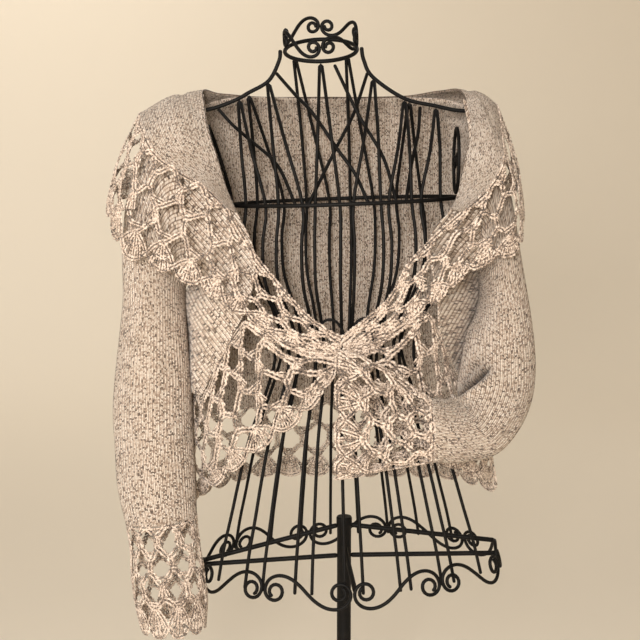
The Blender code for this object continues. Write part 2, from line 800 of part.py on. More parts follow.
def make_armholes():
    for name, top_x, top_z, low_x, low_z, half_depth in ARMHOLE_WIRES:
        top = Vector((top_x, 0.0, top_z))
        low = Vector((low_x, 0.0, low_z))
        loop = []
        for k in range(18):
            turn = 2.0 * math.pi * k / 18
            loop.append((top + low) / 2.0 + (top - low) / 2.0 * math.cos(turn)
                        + Vector((0.0, -half_depth * math.sin(turn), 0.0)))
        tube(name + "_wire", loop, THIN_WIRE_R, wire_paint(name), True, 4)
        lift = (top - low).normalized()
        shape = scroll_shape(2.0 * (half_depth - 2.0 * THIN_WIRE_R - 0.5), 1.9, 8)
        centre = (top + low) / 2.0
        path = [centre + lift * q.y + Vector((0.0, q.x, 0.0)) for q in shape]
        tube(name + "_scroll", path, THIN_WIRE_R - 0.4, wire_paint(name + "_scroll"), sides=4)


def walk_ring(z, samples):
    ring = [form_point(2.0 * math.pi * k / samples, z, 0.0) for k in range(samples + 1)]
    along = [0.0]
    for k in range(samples):
        along.append(along[-1] + (ring[k + 1] - ring[k]).length)
    return along


def turn_at(along, length):
    length = length % along[-1]
    for k in range(len(along) - 1):
        if along[k] <= length <= along[k + 1]:
            share = (length - along[k]) / (along[k + 1] - along[k])
            return 2.0 * math.pi * (k + share) / (len(along) - 1)
    return 0.0


def make_scrolls():
    band = []
    along = walk_ring(BAND_Z, 180)
    pitch = along[-1] / HIP_SCROLLS
    shape = scroll_shape(pitch - 2.0 * SCROLL_R - SEAM, 2.05, 11)
    for k in range(HIP_SCROLLS):
        flip = 1.0 if k % 2 == 0 else -1.0
        path = []
        for q in shape:
            turn = turn_at(along, (k + 0.25) * pitch + q.x)
            path.append(form_point(turn, BAND_Z + flip * q.y, 0.0))
        band.extend(path)
        name = "hip_scroll_%d" % (k + 1)
        tube(name, path, SCROLL_R, wire_paint(name), sides=4)
    along = walk_ring(CROWN_Z, 120)
    pitch = along[-1] / CROWN_SCROLLS
    shape = scroll_shape(pitch - 2.0 * SCROLL_R + CROWN_FIT, 1.95, 9)
    low = min(q.y for q in shape)
    for k in range(CROWN_SCROLLS):
        path = []
        for q in shape:
            turn = turn_at(along, (k + 0.5) * pitch + q.x)
            p = form_point(turn, CROWN_Z, 0.0)
            p.z += CROWN_TILT * p.y / 40.0 + q.y - low + WIRE_R + SCROLL_R + SEAM
            path.append(p)
        name = "crown_scroll_%d" % (k + 1)
        tube(name, path, SCROLL_R, wire_paint(name), sides=4)
    return band


def make_stand(band):
    bm = bmesh.new()
    rings = []
    profile = ((BASE_R, 0.0), (BASE_R, BASE_H - BASE_EDGE), (BASE_R - BASE_EDGE, BASE_H))
    for radius, height in profile:
        ring = []
        for k in range(BASE_SIDES):
            turn = 2.0 * math.pi * k / BASE_SIDES
            ring.append(bm.verts.new((radius * math.cos(turn), radius * math.sin(turn), height)))
        rings.append(ring)
    for first, second in zip(rings, rings[1:]):
        for k in range(BASE_SIDES):
            bm.faces.new((first[k], first[(k + 1) % BASE_SIDES], second[(k + 1) % BASE_SIDES], second[k]))
    bm.faces.new(rings[0])
    bm.faces.new(rings[-1])
    finish("base", bm, material("base_paint", WIRE_COLOUR, 0.45, 0.3), UPRIGHT)
    post = [Vector((0.0, 0.0, BASE_H + SEAM)), Vector((0.0, 0.0, POST_TOP))]
    tube("post", post, POST_R, wire_paint("post"), sides=16, place=UPRIGHT)
    post_x = -HIP_CENTRE_X
    spokes = (
        # name, direction, height at the post, height at the band
        ("left_spoke", math.pi, 372.0, 368.0),
        ("right_spoke", 0.0, 372.0, 368.0),
        ("front_spoke", -math.pi / 2.0, 388.0, 368.0),
        ("back_spoke", math.pi / 2.0, 388.0, 368.0),
        ("left_brace", math.pi, 414.0, 379.0),
        ("right_brace", 0.0, 414.0, 379.0),
    )
    for name, turn, post_z, band_z in spokes:
        wanted = form_point(turn, band_z, 0.0)
        weld = min(band, key=lambda p: (p - wanted).length)
        aim = Vector((math.cos(turn), math.sin(turn), 0.0))
        lean = math.tan(math.radians(LEAN_DEG)) * (post_z - HIP_CENTRE_Z)
        inner = Vector((post_x + lean, 0.0, post_z)) + aim * (POST_R + SEAM + 0.7)
        outer = weld + (inner - weld).normalized() * (SCROLL_R + SPOKE_END)
        tube(name, [inner, outer], SPOKE_R, wire_paint(name))


make_knit()
make_lace()
make_form()
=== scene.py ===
import math

import bmesh
import bpy
import numpy as np
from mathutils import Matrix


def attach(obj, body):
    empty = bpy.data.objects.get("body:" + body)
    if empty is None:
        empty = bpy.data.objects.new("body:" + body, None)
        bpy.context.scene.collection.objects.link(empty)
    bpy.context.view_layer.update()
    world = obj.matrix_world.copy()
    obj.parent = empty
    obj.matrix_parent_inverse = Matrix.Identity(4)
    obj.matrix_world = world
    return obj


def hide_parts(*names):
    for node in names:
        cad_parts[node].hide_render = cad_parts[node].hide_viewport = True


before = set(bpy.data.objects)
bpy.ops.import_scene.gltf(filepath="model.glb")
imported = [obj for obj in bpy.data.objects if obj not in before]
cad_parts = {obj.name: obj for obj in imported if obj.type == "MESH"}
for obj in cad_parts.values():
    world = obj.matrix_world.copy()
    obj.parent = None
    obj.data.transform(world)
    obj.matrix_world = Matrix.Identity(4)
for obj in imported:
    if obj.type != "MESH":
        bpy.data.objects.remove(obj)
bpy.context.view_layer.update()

body = "root"
mm = 0.001

# the torso leans a little about the middle of the hip band; stand and floor stay upright
lean = dict(degrees=2.0, hipX=8.0, hipZ=372.0)


def leant(p):
    a = math.radians(-lean["degrees"])
    c, s = math.cos(a), math.sin(a)
    return np.stack([p[:, 0] * c + p[:, 2] * s, p[:, 1], p[:, 2] * c - p[:, 0] * s], axis=1)


def toWorld(p):
    return (leant(p - (0.0, 0.0, lean["hipZ"])) + (lean["hipX"], 0.0, lean["hipZ"])) * mm


# materials

def newMaterial(name):
    mat = bpy.data.materials.new(name)
    mat.use_nodes = True
    return mat, mat.node_tree, mat.node_tree.nodes["Principled BSDF"]


def addNode(tree, kind, **settings):
    node = tree.nodes.new(kind)
    for key, value in settings.items():
        setattr(node, key, value)
    return node


def calc(tree, operation, first, second=None):
    node = addNode(tree, "ShaderNodeMath", operation=operation)
    for socket, value in zip(node.inputs, (first, second)):
        if value is None:
            continue
        if isinstance(value, (int, float)):
            socket.default_value = value
        else:
            tree.links.new(value, socket)
    return node.outputs[0]


def ramp(tree, factor, stops):
    node = addNode(tree, "ShaderNodeValToRGB")
    elements = node.color_ramp.elements
    while len(elements) < len(stops):
        elements.new(0.5)
    for element, (place, colour) in zip(elements, stops):
        element.position = place
        element.color = (*colour, 1.0)
    tree.links.new(factor, node.inputs["Fac"])
    return node.outputs["Color"]


def shaded(tree, colour, *shades):
    for shade in shades:
        node = addNode(tree, "ShaderNodeMix", data_type="RGBA", blend_type="MULTIPLY")
        node.inputs[0].default_value = 1.0
        tree.links.new(colour, node.inputs[6])
        tree.links.new(shade, node.inputs[7])
        colour = node.outputs[2]
    return colour


def noise(tree, scale, detail):
    place = addNode(tree, "ShaderNodeTexCoord")
    node = addNode(tree, "ShaderNodeTexNoise")
    node.inputs["Scale"].default_value = scale
    node.inputs["Detail"].default_value = detail
    tree.links.new(place.outputs["Object"], node.inputs["Vector"])
    return node.outputs["Fac"]


def addBump(tree, shader, height, distance, strength):
    bump = addNode(tree, "ShaderNodeBump")
    bump.inputs["Distance"].default_value = distance
    bump.inputs["Strength"].default_value = strength
    tree.links.new(height, bump.inputs["Height"])
    tree.links.new(bump.outputs["Normal"], shader.inputs["Normal"])


# marled yarn: a light ply and a brown ply, so each stitch shows one or the other
yarn = dict(
    dark=(0.115, 0.083, 0.064),
    middle=(0.42, 0.315, 0.24),
    light=(0.74, 0.60, 0.49),
    pale=(0.88, 0.78, 0.68),
    legStops=(0.0, 0.17, 0.44, 0.86),
    plyStops=(0.36, 0.46, 0.59, 0.82),
    # painted shade: the grooves round each knit stitch, the groove between both strands of a crochet stitch,
    # and the elbow crease
    stitchGrooveShade=(0.42, 0.36, 0.31),
    strandGroove=(0.30, 0.23, 0.19),
    tuckShade=(0.10, 0.075, 0.055),
    sheen=0.25,
    sheenRough=0.6,
    specular=0.2,
    rough=0.88,
)
white = (1.0, 1.0, 1.0)


def marl(tree, factor, stops):
    colours = [yarn[shade] for shade in ("dark", "middle", "light", "pale")]
    return ramp(tree, factor, list(zip(yarn[stops], colours)))


def woolFinish(shader):
    shader.inputs["Roughness"].default_value = yarn["rough"]
    shader.inputs["Sheen Weight"].default_value = yarn["sheen"]
    shader.inputs["Sheen Roughness"].default_value = yarn["sheenRough"]
    shader.inputs["Specular IOR Level"].default_value = yarn["specular"]


def knitMaterial(name, bumpHeight, shadeLow, waleShade):
    mat, tree, shader = newMaterial(name)
    uv = addNode(tree, "ShaderNodeUVMap", uv_map="stitches")
    parts = addNode(tree, "ShaderNodeSeparateXYZ")
    tree.links.new(uv.outputs["UV"], parts.inputs[0])
    wale, course = parts.outputs[0], parts.outputs[1]
    across = calc(tree, "SUBTRACT", calc(tree, "FRACT", wale), 0.5)
    reach = calc(tree, "ABSOLUTE", across)
    slanted = calc(tree, "SUBTRACT", course, calc(tree, "MULTIPLY", reach, 1.1))
    part = calc(tree, "FRACT", slanted)
    # two leaning legs to a stitch, each a soft lobe
    legOff = calc(tree, "MULTIPLY", calc(tree, "SUBTRACT", reach, 0.25), 4.0)
    legShape = calc(tree, "SUBTRACT", 1.0, calc(tree, "MULTIPLY", legOff, legOff))
    lobe = calc(tree, "SINE", calc(tree, "MULTIPLY", part, math.pi))
    height = calc(tree, "MULTIPLY", legShape, calc(tree, "POWER", lobe, 0.6))
    # one colour to a leg
    cell = addNode(tree, "ShaderNodeCombineXYZ")
    tree.links.new(calc(tree, "FLOOR", calc(tree, "MULTIPLY", wale, 2.0)), cell.inputs[0])
    tree.links.new(calc(tree, "FLOOR", slanted), cell.inputs[1])
    fleck = addNode(tree, "ShaderNodeTexWhiteNoise", noise_dimensions="3D")
    tree.links.new(cell.outputs[0], fleck.inputs["Vector"])
    legColour = marl(tree, fleck.outputs["Value"], "legStops")
    shade = (shadeLow, shadeLow * 0.97, shadeLow * 0.93)
    tone = ramp(tree, noise(tree, 38.0, 3.0), [(0.3, shade), (0.7, white)])
    # painted shade in the grooves round each stitch leg, darkest where the stitch relief is lowest
    groove = ramp(tree, height, [(0.0, yarn["stitchGrooveShade"]), (0.55, white)])
    # painted shade along the valley between two wales (on the fronts, the rib troughs), and painted shade in
    # the elbow crease
    valley = ramp(tree, reach, [(0.33, white), (0.48, (waleShade, waleShade * 0.93, waleShade * 0.87))])
    tucked = addNode(tree, "ShaderNodeAttribute", attribute_name="tuckShade")
    tuckShadeColour = ramp(tree, tucked.outputs["Fac"], [(0.0, white), (1.0, yarn["tuckShade"])])
    tree.links.new(shaded(tree, legColour, tone, groove, valley, tuckShadeColour), shader.inputs["Base Color"])
    fuzz = calc(tree, "MULTIPLY", noise(tree, 1700.0, 2.0), 0.25)
    addBump(tree, shader, calc(tree, "ADD", height, fuzz), bumpHeight, 0.8)
    woolFinish(shader)
    return mat


def laceMaterial(name):
    mat, tree, shader = newMaterial(name)
    ply = calc(tree, "MULTIPLY", noise(tree, 520.0, 2.0), 0.75)
    strand = addNode(tree, "ShaderNodeAttribute", attribute_name="tone")
    mixed = calc(tree, "ADD", ply, calc(tree, "MULTIPLY", strand.outputs["Fac"], 0.28))
    plyColour = marl(tree, mixed, "plyStops")
    # the groove between both strands of a stitch is in shade
    lift = addNode(tree, "ShaderNodeAttribute", attribute_name="lift")
    groove = ramp(tree, lift.outputs["Fac"], [(0.1, yarn["strandGroove"]), (0.7, white)])
    tree.links.new(shaded(tree, plyColour, groove), shader.inputs["Base Color"])
    addBump(tree, shader, noise(tree, 1500.0, 3.0), 0.0006, 0.7)
    woolFinish(shader)
    return mat


paint = dict(black=(0.0025, 0.0022, 0.002), worn=(0.008, 0.006, 0.005), rough=(0.5, 0.7), specular=0.18)


def paintMaterial(name, grain):
    mat, tree, shader = newMaterial(name)
    mottle = noise(tree, grain, 4.0)
    colour = ramp(tree, mottle, [(0.45, paint["black"]), (0.75, paint["worn"])])
    tree.links.new(colour, shader.inputs["Base Color"])
    low, high = paint["rough"]
    rough = calc(tree, "ADD", low, calc(tree, "MULTIPLY", mottle, high - low))
    tree.links.new(rough, shader.inputs["Roughness"])
    addBump(tree, shader, mottle, 0.0003, 0.4)
    shader.inputs["Specular IOR Level"].default_value = paint["specular"]
    return mat


# the last number is the darkness of the painted shade in the valleys between wales
knitYarn = knitMaterial("marledKnit", 0.0011, 0.84, 0.48)
ribYarn = knitMaterial("marledRib", 0.0009, 0.84, 0.38)
laceYarn = laceMaterial("marledCrochet")
wirePaint = paintMaterial("satinBlackWire", 240.0)
standPaint = paintMaterial("satinBlackStand", 120.0)
print("materials ready")


# smooth surfaces through table points

def splineAt(knots, t):
    n = knots.shape[-2]
    t = np.clip(t, 0.0, n - 1.0)
    k = np.minimum(t.astype(int), n - 2)
    f = (t - k)[:, None]
    own = np.arange(len(t))

    def pick(i):
        return knots[i] if knots.ndim == 2 else knots[own, i]

    p1, p2 = pick(k), pick(k + 1)
    p0 = np.where((k > 0)[:, None], pick(np.maximum(k - 1, 0)), 2 * p1 - p2)
    p3 = np.where((k + 2 < n)[:, None], pick(np.minimum(k + 2, n - 1)), 2 * p2 - p1)
    return 0.5 * (2 * p1 + (p2 - p0) * f + (2 * p0 - 5 * p1 + 4 * p2 - p3) * f ** 2
                  + (3 * p1 - p0 - 3 * p2 + p3) * f ** 3)


def sheetAt(sections, u, v):
    columns = sections.shape[1]
    ribs = np.stack([splineAt(sections[:, c], u * (len(sections) - 1)) for c in range(columns)], axis=1)
    return splineAt(ribs, v * (columns - 1))


def unit(vectors):
    return vectors / np.maximum(np.linalg.norm(vectors, axis=-1), 1e-9)[..., None]


def runOf(points):
    return np.concatenate([[0.0], np.cumsum(np.linalg.norm(np.diff(points, axis=0), axis=1))])


# a surface whose u and v go by true length along its middle lines
def evenSheet(sections, uMiddle=0.5, vMiddle=0.5):
    sections = np.array(sections, float)
    t = np.linspace(0.0, 1.0, 300)
    uRun = runOf(sheetAt(sections, t, np.full(300, vMiddle)))
    vRun = runOf(sheetAt(sections, np.full(300, uMiddle), t))

    def at(u, v):
        return sheetAt(sections, np.interp(u * uRun[-1], uRun, t), np.interp(v * vRun[-1], vRun, t))

    return at, uRun[-1], vRun[-1]


def normalsAt(at, u, v):
    h = 0.004
    du = at(np.minimum(u + h, 1.0), v) - at(np.maximum(u - h, 0.0), v)
    dv = at(u, np.minimum(v + h, 1.0)) - at(u, np.maximum(v - h, 0.0))
    return unit(np.cross(du, dv))


def ringPoint(rows, turnDeg, push):
    inner, outer = rows[:, 0:3], rows[:, 3:6]
    axis = (outer - inner) / 2.0
    outward = unit(axis)
    front = np.array([[0.0, -1.0, 0.0]])
    front = unit(front - outward * (front * outward).sum(axis=1)[:, None])
    turn = np.radians(turnDeg)[:, None]
    arm = axis * np.cos(turn) + front * rows[:, 6:7] * np.sin(turn)
    return (inner + outer) / 2.0 + arm - unit(arm) * push[:, None]


def foldDepth(folds, t, turnDeg):
    depth = np.zeros(len(t))
    for along, turn, amount, alongSpread, turnSpread, twist in folds:
        apart = (turnDeg - turn - twist * (t - along) + 180.0) % 360.0 - 180.0
        depth += amount * np.exp(-((t - along) / alongSpread) ** 2 - (apart / turnSpread) ** 2)
    return depth


# depth of a tucked crease whose line is given as (place, turn): steep above it, a rounded lip below; also
# the painted shade along the line and over the hollow above it
def creaseDepthAndShade(crease, t, turnDeg):
    line = np.array(crease["line"], float) * (crease["placeMm"], crease["turnMm"])
    spot = np.stack([t * crease["placeMm"], turnDeg * crease["turnMm"]], axis=1)
    run = runOf(line)
    best = np.full(len(t), 1e9)  # mm from the line, below it counted as positive
    along = np.zeros(len(t))
    for k in range(len(line) - 1):
        step = line[k + 1] - line[k]
        size = np.linalg.norm(step)
        part = np.clip((spot - line[k]) @ step / size ** 2, 0.0, 1.0)
        gap = spot - (line[k] + part[:, None] * step)
        side = np.sign(step[1] * gap[:, 0] - step[0] * gap[:, 1])
        far = np.linalg.norm(gap, axis=1) * np.where(side == 0, 1.0, side)
        nearer = np.abs(far) < np.abs(best)
        best = np.where(nearer, far, best)
        along = np.where(nearer, run[k] + part * size, along)
    fade = np.clip(along / (run[-1] * crease["fadeShare"]), 0.0, 1.0)
    fade = fade * fade * (3.0 - 2.0 * fade)
    above = best < 0

    def mound(name):
        amount, offMm, reachMm = crease[name]
        return amount * np.exp(-((best - offMm) / reachMm) ** 2)

    def wedge(amount, aboveMm, belowMm):
        return amount * np.exp(-(best / np.where(above, aboveMm, belowMm)) ** 2)

    depth = wedge(*crease["groove"]) - mound("lip") + mound("hollow")
    # painted shade along the crease line and over the hollow above it, which darkens the yarn colour
    shade = wedge(*crease["shade"]) + mound("hollowShade") * above
    return fade * depth, np.clip(fade * shade, 0.0, 1.0)


# a sleeve or cuff from its rings: u runs down the arm, v once round it
def sleeveSheet(rings, folds, crease=None):
    table = np.array(rings, float)
    last = len(table) - 1
    t = np.linspace(0.0, last, 300)
    rows = splineAt(table, t)
    run = runOf((rows[:, 0:3] + rows[:, 3:6]) / 2.0)

    def at(u, v):
        place = np.interp(np.clip(u, 0, 1) * run[-1], run, t)
        turn = v * 360.0
        depth = foldDepth(folds, place, turn)
        if crease:
            depth = depth + creaseDepthAndShade(crease, place, turn)[0]
        return ringPoint(splineAt(table, place), turn, depth)

    # painted shade of the elbow crease, from 0 to 1, at each point of the sleeve
    def shadeAt(u, v):
        return creaseDepthAndShade(crease, np.interp(u * run[-1], run, t), v * 360.0)[1]

    return at, run[-1], shadeAt if crease else None


# cloth shells

knitWall = 2.0
insideRelief = 0.6  # share of the relief that shows inside


def linkPiece(name, data):
    obj = bpy.data.objects.new(name, data)
    bpy.context.scene.collection.objects.link(obj)
    return obj


def finishPiece(name, bm, mat, mesh=None):
    mesh = mesh or bpy.data.meshes.new(name)
    bmesh.ops.recalc_face_normals(bm, faces=bm.faces[:])
    bm.to_mesh(mesh)
    bm.free()
    for polygon in mesh.polygons:
        polygon.use_smooth = True
    mesh.materials.append(mat)
    obj = linkPiece(name, mesh)
    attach(obj, body)
    return obj


def sheetArea(grid):
    a = grid[1:, :-1] - grid[:-1, :-1]
    b = grid[:-1, 1:] - grid[:-1, :-1]
    return float(np.linalg.norm(np.cross(a, b), axis=2).sum()) * mm * mm


# outer skin, inner skin and the rims that join them
def shellFaces(rows, columns, closed):
    count = rows * columns
    index = np.arange(count).reshape(rows, columns)
    right = np.roll(index, -1, axis=1) if closed else index[:, 1:]
    left = index if closed else index[:, :-1]
    quads = np.stack([left[:-1], left[1:], right[1:], right[:-1]], axis=-1).reshape(-1, 4)
    faces = [quads, quads[:, ::-1] + count]
    for row, flip in ((0, 1), (rows - 1, -1)):
        rim = np.stack([left[row], right[row], right[row] + count, left[row] + count], axis=-1)
        faces.append(rim[:, ::flip])
    if not closed:
        for column, flip in ((0, -1), (columns - 1, 1)):
            line = index[:, column]
            rim = np.stack([line[:-1], line[1:], line[1:] + count, line[:-1] + count], axis=-1)
            faces.append(rim[:, ::flip])
    return np.concatenate(faces)


# the last column of faces runs on to a whole turn
def wrapWales(uv, wales):
    corner = uv.reshape(-1, 4, 2)
    span = corner[:, :, 0].max(axis=1) - corner[:, :, 0].min(axis=1)
    wrapped = span > wales * 0.5
    low = corner[:, :, 0] < wales * 0.5
    corner[:, :, 0] += (wrapped[:, None] & low) * float(wales)
    return corner.reshape(-1, 2)


def clothShell(name, at, rows, columns, mat, stitchGrid, relief, closed=False, side=1.0, stitchAt=None,
               tuckShade=None):
    around = np.linspace(0, 1, columns + 1)[:-1] if closed else np.linspace(0, 1, columns)
    u, v = (flat.ravel() for flat in np.meshgrid(np.linspace(0, 1, rows), around, indexing="ij"))
    middle = at(u, v)
    grid = middle.reshape(rows, columns, 3)
    if closed:
        dv = np.roll(grid, -1, axis=1) - np.roll(grid, 1, axis=1)
    else:
        dv = np.gradient(grid, axis=1)
    out = unit(np.cross(np.gradient(grid, axis=0), dv).reshape(-1, 3) * side)
    rise = relief(u, v, middle)
    outer = middle + out * (knitWall / 2.0 + rise)[:, None]
    inner = middle + out * (rise * insideRelief - knitWall / 2.0)[:, None]
    mesh = bpy.data.meshes.new(name)
    skin = toWorld(np.concatenate([outer, inner]))
    mesh.from_pydata(skin.tolist(), [], shellFaces(rows, columns, closed).tolist())
    wales, courses = stitchGrid
    loopVerts = np.zeros(len(mesh.loops), int)
    mesh.loops.foreach_get("vertex_index", loopVerts)
    stitches = stitchAt(middle) if stitchAt else np.stack([v * wales, u * courses], axis=1)
    uv = stitches[loopVerts % len(middle)]
    if closed:
        uv = wrapWales(uv, wales)
    mesh.uv_layers.new(name="stitches").data.foreach_set("uv", uv.ravel())
    # a point attribute holding the painted shade of the crease, which darkens the knit colour
    if tuckShade:
        mesh.attributes.new("tuckShade", "FLOAT", "POINT").data.foreach_set("value", np.tile(tuckShade(u, v), 2))
    bm = bmesh.new()
    bm.from_mesh(mesh)
    return finishPiece(name, bm, mat, mesh), sheetArea(grid)


uneven = dict(waves=6, heightMm=0.14, turns=3, phase=6.0)


# ridges of the wales with soft unevenness
def waleRelief(spec, seed):
    rng = np.random.default_rng(seed)
    waves = rng.uniform(-1, 1, (uneven["waves"], 4))
    turns = uneven["turns"]

    def relief(u, v, middle):
        rise = spec["ridgeMm"] * np.cos(2 * np.pi * v * spec["wales"])
        for a, b, c, d in waves:
            phase = 2 * np.pi * (turns * a * u + round(turns * b) * v) + uneven["phase"] * c
            rise = rise + uneven["heightMm"] * d * np.sin(phase)
        for cu, cv, reachU, reachV, tilt, depth in spec.get("creases", []):
            x, y = u - cu, v - cv
            p = x * math.cos(tilt) + y * math.sin(tilt)
            q = y * math.cos(tilt) - x * math.sin(tilt)
            rise = rise - depth * np.exp(-(p / reachU) ** 2 - (q / reachV) ** 2)
        return rise

    return relief


leftSleeve = dict(
    # in x y z, out x y z, half depth
    rings=[
        (-198, 0, 750, -189, 0, 970, 58), (-201, 0, 748, -226, 0, 958, 58),
        (-202.5, 0, 746, -254, 0, 916, 54), (-204, 0, 743, -273, 0, 857, 51),
        (-205, 0, 737, -282, 0, 792, 49), (-205, -2, 718, -284, -2, 734, 47),
        (-203.5, -4, 683, -293, -4, 674, 46), (-202.5, -6, 631, -301, -6, 624, 45),
        (-202, -17, 582, -304, -14, 582, 45), (-201, -29, 544, -302, -24, 543, 44),
        (-199, -45, 492, -299, -40, 492, 41), (-198, -60, 454, -289, -54, 447, 37)],
    # place along, turn, depth, spread along, spread round, twist
    folds=[(6.0, 120, 3.0, 1.8, 26, 0), (8.5, 60, 2.5, 1.6, 22, 6), (9.5, 230, 3.0, 1.5, 30, -8),
           (7.4, 200, 2.0, 2.2, 16, 10), (9.6, 330, 2.0, 1.4, 18, 0)],
    wales=70, rows=112, courseMm=2.0, ridgeMm=0.3)
rightSleeve = dict(
    rings=[
        (176, 6, 752, 185, 0, 959, 58), (181, 6, 744, 200, -1, 936, 56), (182, 3, 731, 210, -4, 893, 51),
        (181, -4, 716, 222, -9, 838, 46), (176, -15, 702, 230, -15, 777, 42),
        (170, -30, 690, 236, -23, 726, 41), (159, -48, 673, 240, -34, 680, 42),
        (152, -68, 650, 240, -47, 636, 43), (146, -88, 631, 233, -62, 598, 43),
        (139, -106, 615, 215, -84, 565, 41), (135, -124, 608, 184, -106, 538, 38),
        (120, -140, 609, 142, -128, 533, 34), (101, -150, 614, 101, -144, 537, 30)],
    folds=[(6.2, 128, 2.6, 0.30, 44, 0), (9.6, 132, 2.0, 0.35, 40, 0), (10.6, 78, 3.0, 0.6, 26, 0),
           (9.0, 60, 2.4, 0.9, 14, 10), (9.4, 300, 2.5, 0.9, 30, 12), (5.2, 150, 2.2, 0.6, 26, 0)],
    # the tucked crease at the elbow: places and turns of its line, then
    # groove and painted shade as amount, reach above and below, the others as amount, offset and reach; the
    # last of them is painted shade over the hollow above the line
    crease=dict(
        line=[
            (6.75, 112), (7.1, 121), (7.5, 134), (8.0, 148), (8.5, 160), (8.95, 168), (9.4, 178),
            (9.9, 192)],
        placeMm=30.0, turnMm=0.75, fadeShare=0.3, groove=(13.0, 2.4, 5.5), lip=(5.0, 10.0, 6.0),
        hollow=(4.0, -12.0, 9.0), shade=(1.0, 4.5, 1.6), hollowShade=(0.4, -10.0, 9.0)),
    wales=60, rows=142, courseMm=2.0, ridgeMm=0.7)


def girth(at, places):
    turn = np.linspace(0, 1, 80)
    return max(runOf(at(np.full(80, u), turn))[-1] for u in places)


def makeSleeve(name, spec, node):
    at, length, tuckShade = sleeveSheet(spec["rings"], spec["folds"], spec.get("crease"))
    courses = length / spec["courseMm"]
    obj, area = clothShell(name, at, spec["rows"], spec["wales"] * 4, knitYarn, (spec["wales"], courses),
                           waleRelief(spec, len(name)), closed=True, tuckShade=tuckShade)
    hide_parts(node)
    return obj, girth(at, (0.02, 0.3, 0.6)), length, area


leftSleevePiece = makeSleeve("leftSleeveKnit", leftSleeve, "left_sleeve")
rightSleevePiece = makeSleeve("rightSleeveKnit", rightSleeve, "right_sleeve")
print("sleeves knitted")

ribStyle = dict(ribMm=5.8, ribHeight=2.2, courseMm=2.0, rows=180, columns=72)
# fronts: turn on the armhole ring, then the neck edge; below it the side seam and the lace edge
leftFront = dict(
    top=[(6, -168, 0, 990), (40, -160, -36, 944), (72, -149, -54, 909), (104, -139, -68, 873),
         (138, -126, -78, 841), (174, -107, -92, 794)],
    low=[(-210, 19, 722, -114, -98, 735), (-208, 25, 680, -138, -88, 691), (-209, 28.5, 645, -162, -70, 649),
         (-209, 30.5, 605, -185, -40, 606)],
    fullness=0.16, ribAcross=(0.77, 0.64), side=1.0, edge=0.8, **ribStyle)
rightFront = dict(
    top=[(6, 163, 0, 973), (40, 167, -34, 924), (72, 158, -52, 892), (104, 148, -68, 858),
         (138, 136, -80, 835), (174, 109, -92, 800)],
    low=[(187, 24, 720, 116, -98, 727), (185, 30.5, 675, 119, -88, 682), (184.5, 35, 635, 136, -62, 640),
         (187, 37, 592, 160, -26, 594)],
    fullness=0.03, ribAcross=(-0.77, 0.64), side=-1.0, edge=1.6, **ribStyle)


def armholePoint(rings, turn):
    return ringPoint(np.array(rings[:1], float), np.array([turn]), np.zeros(1))[0]


def frontSections(spec, rings):
    sections = []
    for turn, x, y, z in spec["top"]:
        inner = np.array([x, y, z], float)
        outer = armholePoint(rings, turn)
        outer = outer + unit(inner - outer) * spec["edge"]
        sections.append((outer, (outer + inner) / 2.0 + np.array([0, -1.0, 0]), inner))
    for sx, sy, sz, ex, ey, ez in spec["low"]:
        outer, inner = np.array([sx, sy, sz], float), np.array([ex, ey, ez], float)
        run = inner - outer
        bend = np.array([-0.7 * spec["fullness"] * run[0], spec["fullness"] * run[1], 0.0])
        sections.append((outer, (outer + inner) / 2.0 + bend, inner))
    return sections


def ribRelief(spec):
    def relief(u, v, middle):
        across = spec["ribAcross"][0] * middle[:, 0] + spec["ribAcross"][1] * middle[:, 2]
        wave = np.cos(2 * np.pi * across / spec["ribMm"])
        fade = np.clip(np.minimum(v, 1 - v) * 12, 0, 1) * np.clip(np.minimum(u, 1 - u) * 20, 0, 1)
        return spec["ribHeight"] * np.sign(wave) * np.abs(wave) ** 0.6 * 0.5 * fade
    return relief


def makeFront(name, spec, rings, node):
    at, length, width = evenSheet(frontSections(spec, rings), 0.5, 0.5)
    cosine, sine = spec["ribAcross"]

    def alongRibs(p):
        across = cosine * p[:, 0] + sine * p[:, 2]
        down = cosine * p[:, 2] - sine * p[:, 0]
        return np.stack([across / spec["ribMm"] + 0.5, down / spec["courseMm"]], axis=1)

    obj, area = clothShell(name, at, spec["rows"], spec["columns"], ribYarn, (1.0, 1.0), ribRelief(spec),
                           side=spec["side"], stitchAt=alongRibs)
    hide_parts(node)
    return obj, width, length, area


leftFrontPiece = makeFront("leftFrontRib", leftFront, leftSleeve["rings"], "left_front_knit")
rightFrontPiece = makeFront("rightFrontRib", rightFront, rightSleeve["rings"], "right_front_knit")

backPanel = dict(
    # turn on both armhole rings, left of middle, middle y z, right of middle
    top=[(-6, -130, 40, 986, 62, 980, 130, 40, 976), (-40, -130, 72, 952, 84, 950, 130, 72, 942),
         (-90, -130, 92, 872, 102, 870, 130, 92, 864), (-138, -130, 98, 796, 110, 795, 130, 98, 790),
         (-174, -130, 98, 742, 110, 742, 128, 98, 738)],
    low=[
        (-208, 21, 706, -128, 96, 106, 120, 98, 186, 26, 706),
        (-209, 29, 640, -128, 94, 102, 120, 96, 184, 35, 640),
        (-209, 32, 560, -128, 104, 114, 128, 106, 189, 38, 560)],
    # creases: middle u v, reach u v, tilt, depth
    creases=[(0.55, 0.3, 0.35, 0.03, 0.1, 2.0), (0.6, 0.66, 0.3, 0.03, -0.15, 2.0),
             (0.3, 0.5, 0.2, 0.05, 0.3, 1.5)],
    wales=132, rows=94, courseMm=2.0, ridgeMm=0.15, seed=5, leftEdge=1.0, rightEdge=1.6)
